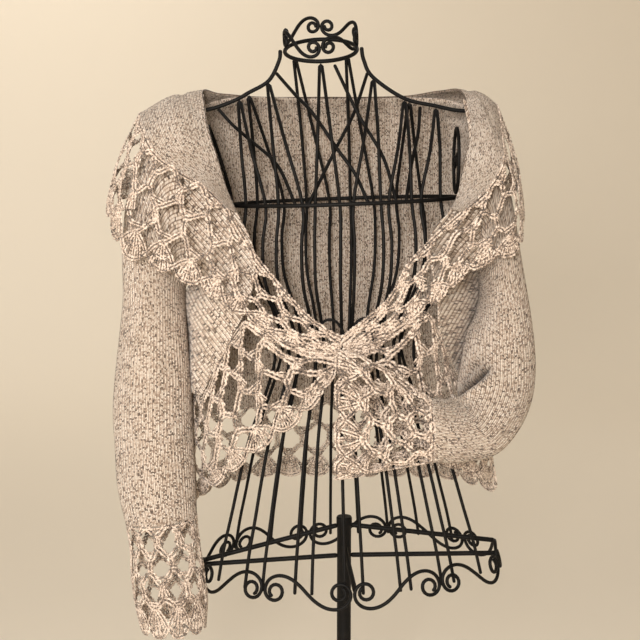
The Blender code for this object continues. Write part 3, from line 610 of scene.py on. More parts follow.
hemLace = dict(
    low=[
        (-209, 32, 560, -128, 104, 114, 128, 106, 189, 38, 560),
        (-209, 30, 500, -130, 112, 124, 134, 116, 198, 40, 500),
        (-209, 28, 452, -132, 120, 132, 140, 124, 207, 40, 440)],
    columns=13, tiers=2, fanShare=0.36, zig=0.22, seed=7, stitchSeed=5, bar=1.1)


def lowSections(rows):
    sections = []
    for lx, ly, lz, lmx, lmy, my, rmx, rmy, rx, ry, rz in rows:
        middle = (0, my, (lz + rz) / 2.0)
        sections.append(((lx, ly, lz), (lmx, lmy, lz), middle, (rmx, rmy, rz), (rx, ry, rz)))
    return np.array(sections, float)


def backSections():
    sections = []
    for turn, lx, ly, lz, my, mz, rx, ry, rz in backPanel["top"]:
        left = armholePoint(leftSleeve["rings"], turn) + (backPanel["leftEdge"], 0.0, 0.0)
        right = armholePoint(rightSleeve["rings"], turn) - (backPanel["rightEdge"], 0.0, 0.0)
        sections.append((left, (lx, ly, lz), (0, my, mz), (rx, ry, rz), right))
    return np.concatenate([np.array(sections, float), lowSections(backPanel["low"])])


backAt, backLength, backWidth = evenSheet(backSections())
backPiece, backArea = clothShell(
    "backKnit", backAt, backPanel["rows"], backPanel["wales"] * 2, knitYarn,
    (backPanel["wales"], backLength / backPanel["courseMm"]), waleRelief(backPanel, backPanel["seed"]))
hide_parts("back_knit")
print("body knitted")

# shawl collar: fold, middle of knit, knit edge, lace edge
collar = dict(
    left=[
        ((-150, 34, 992), (-182, 56, 976), (-208, 72, 948), (-252, 84, 856)),
        ((-168, 6, 995), (-208, 8, 990), (-250, 8, 969), (-297, 10, 860)),
        ((-166, -19, 975), (-203, -39, 967), (-239, -54, 942), (-288, -50, 832)),
        ((-161, -42, 946), (-192, -63, 934), (-223, -73, 915), (-271, -72, 796)),
        ((-150, -60, 911), (-174, -74, 904), (-196, -81, 894), (-236, -90, 782)),
        ((-140, -73, 875), (-152, -82, 876), (-164, -86, 874), (-203, -101, 766)),
        ((-127, -83, 842), (-133, -87, 845), (-139, -88, 847), (-174, -108, 753))],
    leftFall=[((-108, -95, 794), (-147, -114, 734)), ((-76, -109, 752), (-112, -121, 713)),
              ((-41, -121, 713), (-64, -127, 684)), ((-3.6, -129, 688), (-3.8, -131, 671))],
    right=[
        ((142, 34, 986), (170, 54, 976), (197, 64, 951), (218, 82, 850)),
        ((163, 6, 982), (187, 8, 979), (208, 8, 963), (238, 8, 843)),
        ((169, -20, 954), (190, -38, 944), (207, -46, 918), (230, -48, 803)),
        ((168, -42, 926), (187, -59, 913), (204, -70, 890), (219, -76, 782)),
        ((159, -60, 893), (176, -74, 882), (189, -80, 865), (191, -94, 774)),
        ((149, -74.0, 859), (161, -83, 855), (171, -86, 849), (166, -103, 766)),
        ((137, -84.9, 836), (143, -89, 835), (149, -89, 832), (143, -110, 753))],
    rightFall=[((110, -95, 800), (120, -116, 733)), ((80, -109, 771), (97, -122, 720)),
               ((54, -121, 731), (61, -128, 698)), ((-2.8, -129, 688), (-2.6, -131, 671))],
    back=[
        ((92, 62, 981), (106, 88, 966), (118, 103, 936), (126, 126, 846)),
        ((0, 70, 983), (0, 98, 966), (0, 112, 936), (0, 134, 846)),
        ((-94, 64, 986), (-110, 90, 972), (-124, 104, 942), (-136, 126, 850))],
    creases=[(0.2, 0.5, 0.02, 0.5, 0.2, 2.0), (0.28, 0.5, 0.015, 0.6, -0.3, 1.6),
             (0.72, 0.5, 0.02, 0.6, 0.2, 2.0), (0.8, 0.4, 0.015, 0.5, -0.2, 1.6),
             (0.5, 0.5, 0.03, 0.5, 0.1, 1.6)],
    wales=20, rows=260, courseMm=2.0, ridgeMm=0.22, seed=9)
wholeCollar = collar["left"][::-1] + collar["back"][::-1] + collar["right"]
collarAt, collarLength, collarWidth = evenSheet([row[0:3] for row in wholeCollar], 0.35)
collarPiece, collarArea = clothShell(
    "collarKnit", collarAt, collar["rows"], collar["wales"] * 2, knitYarn,
    (collar["wales"], collarLength / collar["courseMm"]), waleRelief(collar, collar["seed"]))
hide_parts("collar_knit")
print("collar knitted")


# crochet: every bar, shell and edge is a row of chain stitches set along a path

chain = dict(
    lengthMm=4.9, widthMm=7.2, strandMm=1.55, flat=0.62, stepMm=4.5, shortestMm=2.0, sizeSpread=0.14,
    # share of the width and length, height in mm, thickness
    strandPath=[(0.5, -0.52, -0.4, 0.75), (1.0, 0.0, 0.5, 1.0), (0.62, 0.52, -0.2, 0.8)])


def chainStitch():
    half, long, r = chain["widthMm"] / 2.0 - chain["strandMm"], chain["lengthMm"], chain["strandMm"]
    bm = bmesh.new()
    # lift is low on the inner side of each strand and high on its top, bottom and outer side; the crochet
    # material paints shade in the groove where it is low
    lift = bm.verts.layers.float.new("lift")
    for sign in (1.0, -1.0):
        rings = []
        for shareX, shareY, z, thick in chain["strandPath"]:
            x, y, size = sign * half * shareX, long * shareY, r * thick
            ring = []
            for a in (0.0, math.pi / 2, math.pi, 1.5 * math.pi):
                vert = bm.verts.new((x + size * math.cos(a), y, z + size * chain["flat"] * math.sin(a)))
                vert[lift] = 0.85 if abs(math.cos(a)) < 0.5 else 0.45 + 0.4 * sign * math.cos(a)
                ring.append(vert)
            rings.append(ring)
        for first, second in zip(rings, rings[1:]):
            for k in range(4):
                bm.faces.new((first[k], first[(k + 1) % 4], second[(k + 1) % 4], second[k]))
        bm.faces.new(rings[0][::-1])
        bm.faces.new(rings[-1])
    bmesh.ops.recalc_face_normals(bm, faces=bm.faces[:])
    bmesh.ops.scale(bm, vec=(mm, mm, mm), verts=bm.verts[:])
    mesh = bpy.data.meshes.new("chainStitch")
    bm.to_mesh(mesh)
    bm.free()
    return linkPiece("chainStitch", mesh)


def chainTree():
    tree = bpy.data.node_groups.new("chainStitchRows", "GeometryNodeTree")
    face = tree.interface
    face.new_socket("Geometry", in_out="INPUT", socket_type="NodeSocketGeometry")
    kinds = dict(Stitch="Object", Smallest="Float", Largest="Float", Seed="Int", Yarn="Material")
    sockets = {}
    for label, kind in kinds.items():
        sockets[label] = face.new_socket(label, in_out="INPUT", socket_type="NodeSocket" + kind).identifier
    face.new_socket("Geometry", in_out="OUTPUT", socket_type="NodeSocketGeometry")
    link = tree.links.new
    start, end = addNode(tree, "NodeGroupInput").outputs, addNode(tree, "NodeGroupOutput")
    stitch = addNode(tree, "GeometryNodeObjectInfo")
    stitch.inputs["As Instance"].default_value = True
    link(start["Stitch"], stitch.inputs["Object"])
    turned = None
    for label, axis, pivot in (("face", "Z", "AUTO"), ("along", "Y", "Z")):
        heading = addNode(tree, "GeometryNodeInputNamedAttribute", data_type="FLOAT_VECTOR")
        heading.inputs["Name"].default_value = label
        align = addNode(tree, "FunctionNodeAlignRotationToVector", axis=axis, pivot_axis=pivot)
        link(heading.outputs[0], align.inputs["Vector"])
        if turned:
            link(turned.outputs[0], align.inputs["Rotation"])
        turned = align
    spread = addNode(tree, "FunctionNodeRandomValue", data_type="FLOAT")
    link(start["Smallest"], spread.inputs[2])
    link(start["Largest"], spread.inputs[3])
    link(start["Seed"], spread.inputs["Seed"])
    swell = addNode(tree, "GeometryNodeInputNamedAttribute")
    swell.inputs["Name"].default_value = "swell"
    place = addNode(tree, "GeometryNodeInstanceOnPoints")
    link(start["Geometry"], place.inputs["Points"])
    link(stitch.outputs["Geometry"], place.inputs["Instance"])
    link(turned.outputs[0], place.inputs["Rotation"])
    link(calc(tree, "MULTIPLY", spread.outputs[1], swell.outputs[0]), place.inputs["Scale"])
    tone = addNode(tree, "FunctionNodeRandomValue", data_type="FLOAT")
    link(start["Seed"], tone.inputs["Seed"])
    store = addNode(tree, "GeometryNodeStoreNamedAttribute", data_type="FLOAT", domain="INSTANCE")
    store.inputs["Name"].default_value = "tone"
    link(place.outputs[0], store.inputs["Geometry"])
    link(tone.outputs[1], store.inputs["Value"])
    realize = addNode(tree, "GeometryNodeRealizeInstances")
    smooth = addNode(tree, "GeometryNodeSetShadeSmooth")
    paintIt = addNode(tree, "GeometryNodeSetMaterial")
    link(store.outputs[0], realize.inputs[0])
    link(realize.outputs[0], smooth.inputs[0])
    link(smooth.outputs[0], paintIt.inputs["Geometry"])
    link(start["Yarn"], paintIt.inputs["Material"])
    link(paintIt.outputs[0], end.inputs[0])
    return tree, sockets


stitchObject = chainStitch()
stitchTree, stitchSockets = chainTree()


# rows of values at the lengths s of a path whose points lie at the lengths run
def along(s, run, rows):
    return np.stack([np.interp(s, run, column) for column in rows.T], axis=1)


# place, heading, outward direction and size of every stitch
def stitchRows(at, paths):
    spots, headings, faces, swells = [], [], [], []
    for line, swell in paths:
        line = np.array(line, float)
        uv = splineAt(line, np.linspace(0, len(line) - 1, max(6, 5 * len(line))))
        u, v = uv[:, 0], np.clip(uv[:, 1], 0.0, 1.0)
        p = at(u, v)
        n = normalsAt(at, u if getattr(at, "round", False) else np.clip(u, 0, 1), v)
        run = runOf(p)
        if run[-1] < chain["shortestMm"]:
            continue
        count = max(1, round(run[-1] / (chain["stepMm"] * swell)))
        s = (np.arange(count) + 0.5) / count * run[-1]
        spots.append(along(s, run, p))
        headings.append(unit(along(s + 1.0, run, p) - along(s - 1.0, run, p)))
        faces.append(along(s, run, n))
        swells.append(np.full(count, swell))
    return [np.concatenate(rows) for rows in (spots, headings, faces, swells)]


def crochet(name, at, paths, seed):
    spots, headings, faces, swells = stitchRows(at, paths)
    mesh = bpy.data.meshes.new(name + "Rows")
    mesh.from_pydata(toWorld(spots).tolist(), [], [])
    for label, values in (("along", leant(headings)), ("face", leant(faces))):
        mesh.attributes.new(label, "FLOAT_VECTOR", "POINT").data.foreach_set("vector", values.ravel())
    mesh.attributes.new("swell", "FLOAT", "POINT").data.foreach_set("value", swells)
    rows = linkPiece(name + "Rows", mesh)
    modifier = rows.modifiers.new("chainStitchRows", "NODES")
    modifier.node_group = stitchTree
    spread = chain["sizeSpread"]
    settings = dict(Stitch=stitchObject, Smallest=1.0 - spread, Largest=1.0 + spread,
                    Seed=seed, Yarn=laceYarn)
    for label, value in settings.items():
        modifier[stitchSockets[label]] = value
    bpy.context.view_layer.update()
    made = bpy.data.meshes.new_from_object(rows.evaluated_get(bpy.context.evaluated_depsgraph_get()))
    made.name = name
    bpy.data.objects.remove(rows, do_unlink=True)
    obj = linkPiece(name, made)
    if not made.materials:
        made.materials.append(laceYarn)
    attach(obj, body)
    return obj


# how far hand work strays, in shares of half a column or a tier, and how thick each kind of row is
hand = dict(aside=0.16, down=0.10, topStray=0.4, topPull=1.6, sway=0.10, crossChance=0.85,
            startRow=0.95, crossRow=0.9, posyRow=0.9, sideRow=1.0, trebleRow=0.95, edgeRow=1.05, archRow=0.9)
posy = dict(turns=(-0.5, 0.0, 0.5), wide=0.7, tall=0.42)
shell = dict(reach=0.96, join=0.42, tip=0.995, bow=0.10, arch=0.55)


# open mesh of tall windows between zigzag rows, then solid shells along the scalloped edge
def lacePaths(spec, closed=False):
    rng = np.random.default_rng(spec["seed"])
    halves, tiers, fan = 2 * spec["columns"], spec["tiers"], spec["fanShare"]
    tier = (1.0 - fan) / tiers
    pull, bar = spec["zig"] * tier, spec["bar"]
    last = halves if closed else halves + 1
    spots = {}
    for k in range(tiers + 1):
        for h in range(last):
            up = (h + k) % 2 == 0
            jitter = rng.uniform(-1, 1, 2) * np.array([hand["aside"] / halves, hand["down"] * tier])
            v = k * tier + (-pull if up else pull)
            if k == 0:
                v = 0.0 if up else pull * hand["topPull"]
                jitter = jitter * hand["topStray"]
            spots[k, h] = np.array([h / halves, v]) + jitter
        if closed:
            spots[k, halves] = spots[k, 0] + np.array([1.0, 0.0])
            spots[k, -1] = spots[k, halves - 1] - np.array([1.0, 0.0])
    paths = [([(s, 0.008) for s in np.linspace(0, 1, 3 * halves)], hand["startRow"])]
    for k in range(tiers + 1):
        paths.append(([spots[k, h] for h in range(halves + 1)], bar))
        for h in range(last):
            if (h + k) % 2 == 0:
                continue
            here = spots[k, h]
            sides = [spots[k, n] for n in (h - 1, h + 1) if (k, n) in spots]
            if k < tiers:
                below = spots[k + 1, h]
                sway = np.array([rng.uniform(-hand["sway"], hand["sway"]) / halves, 0.0])
                paths.append(([here, here + (below - here) * 0.5 + sway, below], bar))
            if len(sides) == 2 and rng.random() < hand["crossChance"]:
                paths.append(([here + (side - here) * 0.5 for side in sides], hand["crossRow"]))
            if k == tiers:
                paths.extend(shellPaths(here, h / halves, 1.0 / halves, spec))
            elif len(sides) == 2 and rng.random() < spec.get("posies", 0.25):
                # a small solid cluster inside a window
                for turn in posy["turns"]:
                    tip = here + np.array([turn * posy["wide"] / halves, posy["tall"] * tier])
                    paths.append(([here, tip], hand["posyRow"]))
    if not closed:
        for s in (0.004, 0.996):
            paths.append(([(s, v) for v in np.linspace(0, 1.0 - 0.4 * fan, 6)], hand["sideRow"]))
    return paths


def shellPaths(base, u, reach, spec):
    join = 1.0 - shell["join"] * spec["fanShare"]
    paths, tips = [], []
    for s in np.linspace(-shell["reach"], shell["reach"], spec.get("trebles", 7)):
        tip = np.array([u + reach * s, join + (shell["tip"] - join) * math.sqrt(1.0 - s * s)])
        bow = np.array([shell["bow"] * reach * s, 0.0])
        start = base + bow
        paths.append(([start, start + (tip - start) * 0.5 + bow, tip], hand["trebleRow"]))
        tips.append(tip)
    paths.append((tips, hand["edgeRow"]))
    paths.append(([base + (tip - base) * shell["arch"] for tip in tips], hand["archRow"]))
    return paths


laceBulge = 0.05  # share of its depth by which a strip rounds outward


def bulged(pairs):
    sections = []
    for first, last in pairs:
        first, last = np.array(first, float), np.array(last, float)
        middle = (first + last) / 2.0
        out = np.array([middle[0] * 0.5, middle[1], 0.0])
        middle = middle + unit(out) * laceBulge * np.linalg.norm(last - first)
        sections.append((first, middle, last))
    return np.array(sections)


def areaOf(at):
    u, v = np.meshgrid(np.linspace(0, 1, 60), np.linspace(0, 1, 24), indexing="ij")
    return sheetArea(at(u.ravel(), v.ravel()).reshape(60, 24, 3))


collarLace = dict(columns=36, tiers=2, fanShare=0.34, zig=0.24, seed=11, stitchSeed=21, trebles=6,
                  posies=0.5, bar=1.08)
collarPairs = collar["leftFall"][::-1] + [(row[2], row[3]) for row in wholeCollar] + collar["rightFall"]
collarLaceAt, collarLaceLength, collarLaceWidth = evenSheet(bulged(collarPairs), 0.3, 0.6)
collarLacePiece = crochet("collarLace", collarLaceAt, lacePaths(collarLace), collarLace["stitchSeed"])
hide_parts("left_collar_lace", "back_collar_lace", "right_collar_lace")

frontLaceStyle = dict(columns=7, tiers=3, fanShare=0.24, zig=0.26, posies=0.65, trebles=6, bar=1.36)
leftFrontLace = dict(
    pairs=[
        ((-206, 26, 603.4), (-207, 22, 452)), ((-184, -41, 603.1), (-177, -42, 485)),
        ((-161, -71, 647), (-140, -76, 519)), ((-137, -89, 689), (-94, -102, 559)),
        ((-112, -119, 709), (-58, -116, 586)), ((-64, -126, 680), (-35, -125, 614)),
        ((-6, -130, 667), (-16, -129, 642))],
    seed=31, **frontLaceStyle)
rightFrontLace = dict(
    pairs=[
        ((186, 30, 587), (196, 32, 458)), ((158, -28, 588), (168, -46, 486)),
        ((134, -64, 634), (120, -88, 519)), ((118, -89, 680), (80, -106, 553)),
        ((97, -120, 716), (48, -117, 576)), ((61, -127, 694), (24, -125, 610)),
        ((-0.4, -130, 667), (6, -129, 642))],
    seed=47, **frontLaceStyle)
frontLacePieces = []
for name, spec, node in (("leftFrontLace", leftFrontLace, "left_front_lace"),
                         ("rightFrontLace", rightFrontLace, "right_front_lace")):
    at, length, width = evenSheet(bulged(spec["pairs"]), 0.45, 0.5)
    obj = crochet(name, at, lacePaths(spec), spec["seed"])
    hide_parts(node)
    frontLacePieces.append((obj, width, length, areaOf(at)))

hemSections = lowSections(hemLace["low"]).transpose(1, 0, 2)
hemAt, hemLength, hemWidth = evenSheet(hemSections, 0.5, 0.5)
hemPiece = crochet("hemLace", hemAt, lacePaths(hemLace), hemLace["stitchSeed"])
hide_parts("hem_lace")

cuffStyle = dict(columns=10, tiers=3, fanShare=0.30, zig=0.2, posies=0.5, trebles=5, bar=1.2)
leftCuff = dict(
    rings=[
        (-198, -60, 454, -289, -54, 447, 37), (-195, -68, 421, -284, -63, 413, 36),
        (-190, -75, 384, -283, -71, 375, 36), (-187, -80, 346, -279, -77, 341, 36),
        (-190, -84, 312, -273, -81, 312, 35)],
    seed=61, **cuffStyle)
rightCuff = dict(
    rings=[
        (101, -150, 614, 101, -144, 537, 30), (78, -156, 632, 74, -150, 534, 27),
        (46, -160, 656, 37, -156, 530, 24), (13, -162, 673, 6, -158, 524, 22),
        (-10, -162, 680, -16, -158, 522, 20)],
    seed=73, **cuffStyle)
cuffPieces = []
for name, spec, nodes in (("leftCuffLace", leftCuff, ("left_cuff_front", "left_cuff_back")),
                          ("rightCuffLace", rightCuff, ("right_cuff_front", "right_cuff_back"))):
    tubeAt, length = sleeveSheet(spec["rings"], [])[:2]

    def cuffAt(u, v, tubeAt=tubeAt):
        return tubeAt(v, u)

    cuffAt.round = True
    obj = crochet(name, cuffAt, lacePaths(spec, closed=True), spec["seed"])
    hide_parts(*nodes)
    cuffPieces.append((obj, girth(tubeAt, (0.0, 0.5, 1.0)), length, areaOf(cuffAt)))

bpy.data.objects.remove(stitchObject, do_unlink=True)
print("lace crocheted")


# wire dress form

def wireTube(bm, points, radius, closed=False, sides=10):
    points = np.array(points, float)
    count = len(points)
    if closed:
        ahead = np.roll(points, -1, axis=0) - np.roll(points, 1, axis=0)
    else:
        ahead = np.gradient(points, axis=0)
    ahead = unit(ahead)
    radii = np.full(count, float(radius))
    centres = points
    if not closed:  # a rounded tip at both ends
        inward, size = np.array([(0.0, 0.55), (0.35, 0.85), (0.8, 1.0)]).T * radius
        centres = np.concatenate([points[0] + np.outer(inward, ahead[0]), points[1:-1],
                                  points[-1] - np.outer(inward, ahead[-1])[::-1]])
        radii = np.concatenate([size, radii[1:-1], size[::-1]])
        ahead = np.concatenate([[ahead[0]] * 3, ahead[1:-1], [ahead[-1]] * 3])
        count = len(centres)
    up = np.array([0.0, 1.0, 0.0]) if abs(ahead[0][1]) < 0.7 else np.array([1.0, 0.0, 0.0])
    turn = 2 * np.pi * np.arange(sides) / sides
    rings = []
    for i in range(count):
        up = up - ahead[i] * up.dot(ahead[i])
        up = up / np.linalg.norm(up)
        other = np.cross(ahead[i], up)
        ring = centres[i] + (np.outer(np.cos(turn), up) + np.outer(np.sin(turn), other)) * radii[i]
        rings.append([bm.verts.new(p) for p in ring])
    for i in range(count if closed else count - 1):
        first, second = rings[i], rings[(i + 1) % count]
        shift = 0
        if closed and i == count - 1:
            shift = min(range(sides), key=lambda turned: sum(
                (first[k].co - second[(k + turned) % sides].co).length for k in range(sides)))
        for k in range(sides):
            n = (k + 1) % sides
            bm.faces.new((first[k], first[n], second[(n + shift) % sides], second[(k + shift) % sides]))
    if not closed:
        bm.faces.new(rings[0][::-1])
        bm.faces.new(rings[-1])


def wirePiece(name, wires, nodes):
    bm = bmesh.new()
    for points, radius, closed in wires:
        wireTube(bm, toWorld(np.array(points, float)), radius * mm, closed)
    obj = finishPiece(name, bm, wirePaint)
    if nodes:
        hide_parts(*nodes)


form = dict(
    # z, centre x, half width, front, back
    rows=[
        (1040, -16, 46, 40, 40), (960, 0, 120, 78, 68), (848, 7, 145, 105, 88), (760, 5, 150, 110, 90),
        (660, 2, 107, 82, 76), (550, 0, 146, 98, 94), (460, 0, 174, 112, 110), (372, 0, 198, 126, 126),
        (330, 0, 204, 130, 130)],
    wire=2.6, thin=2.2, curl=1.8, scroll=2.3, spoke=3.2,
    crownZ=1040.0, crownTilt=17.0, crownDepth=40.0, bustZ=848.0)


def formRow(z):
    rows = np.array(form["rows"], float)
    return splineAt(rows, np.array([np.interp(-z, -rows[:, 0], np.arange(len(rows)))]))[0]


def formPoint(turn, z, inset=0.0):
    row = formRow(z)
    depth = row[4] if math.sin(turn) > 0.0 else row[3]
    return np.array([row[1] + (row[2] - inset) * math.cos(turn), (depth - inset) * math.sin(turn), z])


def smoothPath(knots, count):
    knots = np.array(knots, float)
    return splineAt(knots, np.linspace(0, len(knots) - 1, count))


def eulerScroll(width, turns, count):
    fine = 60
    s = turns * (np.arange(count * fine) + 0.5) / (count * fine)
    angle = math.pi * s * s / 2.0 - math.pi / 4.0
    step = turns / (count * fine)
    x = np.concatenate([[0.0], np.cumsum(np.cos(angle)) * step])[::fine]
    y = np.concatenate([[0.0], np.cumsum(np.sin(angle)) * step])[::fine]
    half = np.stack([x, y], axis=1)
    whole = np.concatenate([-half[:0:-1], half])
    return whole * (width / 2.0 / whole[:, 0].max())


wireLegs = dict(
    levels=[848.0, 800.0, 750.0, 700.0, 655.0, 610.0, 555.0, 500.0, 450.0, 405.0, 362.0],
    # apex x y z, then where both legs cross the bust ring
    front=[(-122, -6.0, 977, -122, -95), (-84, -6.0, 997, -78, -47), (-17, -39.6, 1016.6, -31, 0),
           (49, -6.0, 997, 17, 52), (88, -6.0, 969, 62, 92), (128, -6.0, 958, 104, 132)],
    back=[
        (-110, 6.0, 983, -112, -76), (-50, 34.0, 1030, -44, -12), (18, 34.0, 1030, 18, 50),
        (95, 6.0, 967, 82, 116)],
    # crossing wires: upper knots, where they reach the bust ring, gap to it
    crossing=[([(0, -37.6, 1018.4), (27, -62, 956), (56, -69, 902)], 72, 0.7),
              ([(-74, -6, 1013), (-49, -45, 982), (-29, -68, 959), (0, -80, 914), (20, -84, 884)], 36, 0.7),
              ([(42, -6, 1009), (22, -48, 958), (-2, -66, 915)], -40, 0.2),
              ([(-150, -3, 971), (-132, -12, 950), (-112, -30, 932), (-75, -60, 897)], -56, 0.7),
              ([(108, -6, 964), (102, -36, 930), (92, -56, 895)], 84, 0.2)],
    spread=1.6, frontRise=0.20, backRise=0.04, inset=0.7, riseZ=6.0, tipZ=2.0)


def numbered(node, count):
    return ["%s_%d" % (node, k + 1) for k in range(count)]


def legPath(apex, first, second, atBack):
    row = formRow(form["bustZ"])
    inset = form["wire"] + form["thin"] + wireLegs["inset"]
    runs = []
    for bustX in (first, second):
        turn = math.acos(max(-1.0, min(1.0, (bustX - row[1]) / row[2])))
        turn = turn if atBack else -turn
        leg = [formPoint(turn, z, inset) for z in wireLegs["levels"]]
        rise = (apex + leg[0]) / 2.0
        lift = wireLegs["backRise"] if atBack else -wireLegs["frontRise"]
        rise = rise + np.array([0.0, lift * np.linalg.norm(apex - leg[0]), wireLegs["riseZ"]])
        runs.append([rise] + leg)
    spread = np.array([wireLegs["spread"], 0.0, 0.0])
    upper, lower = smoothPath([apex - spread] + runs[0], 48), smoothPath([apex + spread] + runs[1], 48)
    return np.concatenate([upper[::-1], [apex + np.array([0, 0, wireLegs["tipZ"]])], lower])


for name in ("front", "back"):
    legs = []
    for row in wireLegs[name]:
        path = legPath(np.array(row[:3], float), row[3], row[4], name == "back")
        legs.append((path, form["thin"], False))
    wirePiece(name + "Wires", legs, numbered(name + "_wire", len(legs)))


def crossPath(knots, bustX, gap):
    row = formRow(form["bustZ"])
    foot = formPoint(-math.acos((bustX - row[1]) / row[2]), form["bustZ"], form["wire"] + form["thin"] + gap)
    return smoothPath(knots + [foot], 40)


crossWires = [(crossPath(*row), form["thin"], False) for row in wireLegs["crossing"]]
wirePiece("crossWires", crossWires, numbered("cross_wire", len(crossWires)))

bustRing = [formPoint(2 * math.pi * k / 96, form["bustZ"]) for k in range(96)]
wirePiece("bustRing", [(bustRing, form["wire"], True)], ["bust_ring"])


def crownPoint(turn):
    p = formPoint(turn, form["crownZ"])
    p[2] += form["crownTilt"] * p[1] / form["crownDepth"]
    return p


crownRing = [crownPoint(2 * math.pi * k / 64) for k in range(64)]
wirePiece("crownRing", [(crownRing, form["wire"], True)], ["crown_ring"])

# a pair of small curls at the front of the waist, on the wires behind the closing
waistCurls = dict(
    left=[
        (2, -89, 682), (-2, -89, 693), (-9, -89, 703), (-18, -89, 706), (-26, -88, 702), (-27, -88, 694),
        (-21, -88, 690), (-15, -88, 694)],
    right=[
        (5, -89, 682), (10, -89, 692), (17, -89, 702), (26, -89, 706), (33, -88, 701), (32, -88, 693),
        (26, -88, 690), (21, -88, 694)])
curls = [(smoothPath(knots, 34), form["curl"], False) for knots in waistCurls.values()]
wirePiece("waistCurls", curls, [])

shoulders = dict(
    left=[(-67.6, 1042), (-70, 1028), (-84, 1004), (-110, 990), (-128, 981), (-158, 971.5), (-188.7, 967.6)],
    right=[(35.6, 1042), (38, 1026), (49, 1004), (88, 976), (128, 965), (155, 958.5), (183.8, 956.4)])
for name, node in (("left", "left_shoulder_wire"), ("right", "right_shoulder_wire")):
    line = smoothPath([(x, 0.0, z) for x, z in shoulders[name]], 40)
    wirePiece(name + "ShoulderWire", [(line, form["wire"], False)], [node])

armholeScroll = dict(turns=2.3, points=34, gap=0.5)
# top x z, low x z, half depth
armholes = dict(left=(-164, 950, -138, 853.0, 30), right=(155, 936, 152, 853.4, 30))
for name, (topX, topZ, lowX, lowZ, halfDepth) in armholes.items():
    top, low = np.array([topX, 0.0, topZ]), np.array([lowX, 0.0, lowZ])
    centre, half = (top + low) / 2.0, (top - low) / 2.0
    side = np.array([0.0, -halfDepth, 0.0])
    turns = 2 * math.pi * np.arange(56) / 56
    loop = [centre + half * math.cos(turn) + side * math.sin(turn) for turn in turns]
    lift = unit(half)
    width = 2.0 * (halfDepth - 2.0 * form["thin"] - armholeScroll["gap"])
    shape = eulerScroll(width, armholeScroll["turns"], armholeScroll["points"])
    scroll = [centre + lift * q[1] + np.array([0.0, q[0], 0.0]) for q in shape]
    wirePiece(name + "ArmholeWire", [(loop, form["thin"], True)], [name + "_armhole_wire"])
    wirePiece(name + "ArmholeScroll", [(scroll, form["curl"], False)], [name + "_armhole_scroll"])


# turn and height of the points of each scroll in a band of them round the form
def scrollBand(band):
    around = np.linspace(0, 2 * math.pi, band["samples"] + 1)
    walk = runOf(np.array([formPoint(turn, band["z"]) for turn in around]))
    pitch = walk[-1] / band["scrolls"]
    shape = eulerScroll(pitch - 2.0 * form["scroll"] + band["fit"], band["turns"], band["points"])
    for k in range(band["scrolls"]):
        yield np.interp(((k + band["start"]) * pitch + shape[:, 0]) % walk[-1], walk, around), shape[:, 1]


hipBand = dict(z=366.0, scrolls=9, turns=2.5, points=40, fit=-0.3, start=0.25, samples=360)
crownBand = dict(z=form["crownZ"], scrolls=4, turns=2.4, points=34, fit=0.4, start=0.5, samples=240, gap=0.3)
hipScrolls, bandPoints = [], []
for k, (turns, heights) in enumerate(scrollBand(hipBand)):
    flip = 1.0 if k % 2 == 0 else -1.0
    path = [formPoint(turn, hipBand["z"] + flip * height) for turn, height in zip(turns, heights)]
    bandPoints.extend(path)
    hipScrolls.append((path, form["scroll"], False))
wirePiece("hipScrolls", hipScrolls, numbered("hip_scroll", hipBand["scrolls"]))

crownScrolls = []
for turns, heights in scrollBand(crownBand):
    lift = form["wire"] + form["scroll"] + crownBand["gap"] - heights.min()
    path = [crownPoint(turn) + (0.0, 0.0, height + lift) for turn, height in zip(turns, heights)]
    crownScrolls.append((path, form["scroll"], False))
wirePiece("crownScrolls", crownScrolls, numbered("crown_scroll", crownBand["scrolls"]))

stand = dict(
    postR=9.5, postTop=426.0, footR=16.5, capR=10.5, sunk=0.5, postSides=48,
    baseR=145.0, baseH=12.0, baseSides=96)
bandPoints = np.array(bandPoints)
# turn, height at the post, height at the band
spokes = dict(
    left_spoke=(math.pi, 372.0, 368.0), right_spoke=(0.0, 372.0, 368.0),
    front_spoke=(-math.pi / 2, 388.0, 368.0), back_spoke=(math.pi / 2, 388.0, 368.0),
    left_brace=(math.pi, 414.0, 379.0), right_brace=(0.0, 414.0, 379.0))
spokeWires = []
for turn, postZ, bandZ in spokes.values():
    wanted = formPoint(turn, bandZ)
    weld = bandPoints[np.argmin(np.linalg.norm(bandPoints - wanted, axis=1))]
    shift = math.tan(math.radians(lean["degrees"])) * (postZ - lean["hipZ"])
    outward = np.array([math.cos(turn), math.sin(turn), 0.0])
    inner = np.array([shift - lean["hipX"], 0.0, postZ]) + outward * (stand["postR"] - stand["sunk"])
    spokeWires.append((smoothPath([inner, weld], 6), form["spoke"], False))
wirePiece("spokes", spokeWires, list(spokes))
print("wires bent")


# stand

def turnedRings(bm, profile, sides):
    turns = [2 * math.pi * k / sides for k in range(sides)]
    rings = [[bm.verts.new((r * math.cos(a), r * math.sin(a), z)) for a in turns] for r, z in profile]
    for first, second in zip(rings, rings[1:]):
        for k in range(sides):
            n = (k + 1) % sides
            bm.faces.new((first[k], first[n], second[n], second[k]))
    return rings


def turnedPiece(name, profile, node, sides):
    bm = bmesh.new()
    rings = turnedRings(bm, [(r * mm, z * mm) for r, z in profile], sides)
    bm.faces.new(rings[0][::-1])
    bm.faces.new(rings[-1])
    obj = finishPiece(name, bm, standPaint)
    for polygon in obj.data.polygons:
        polygon.use_smooth = len(polygon.vertices) == 4
    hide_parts(node)


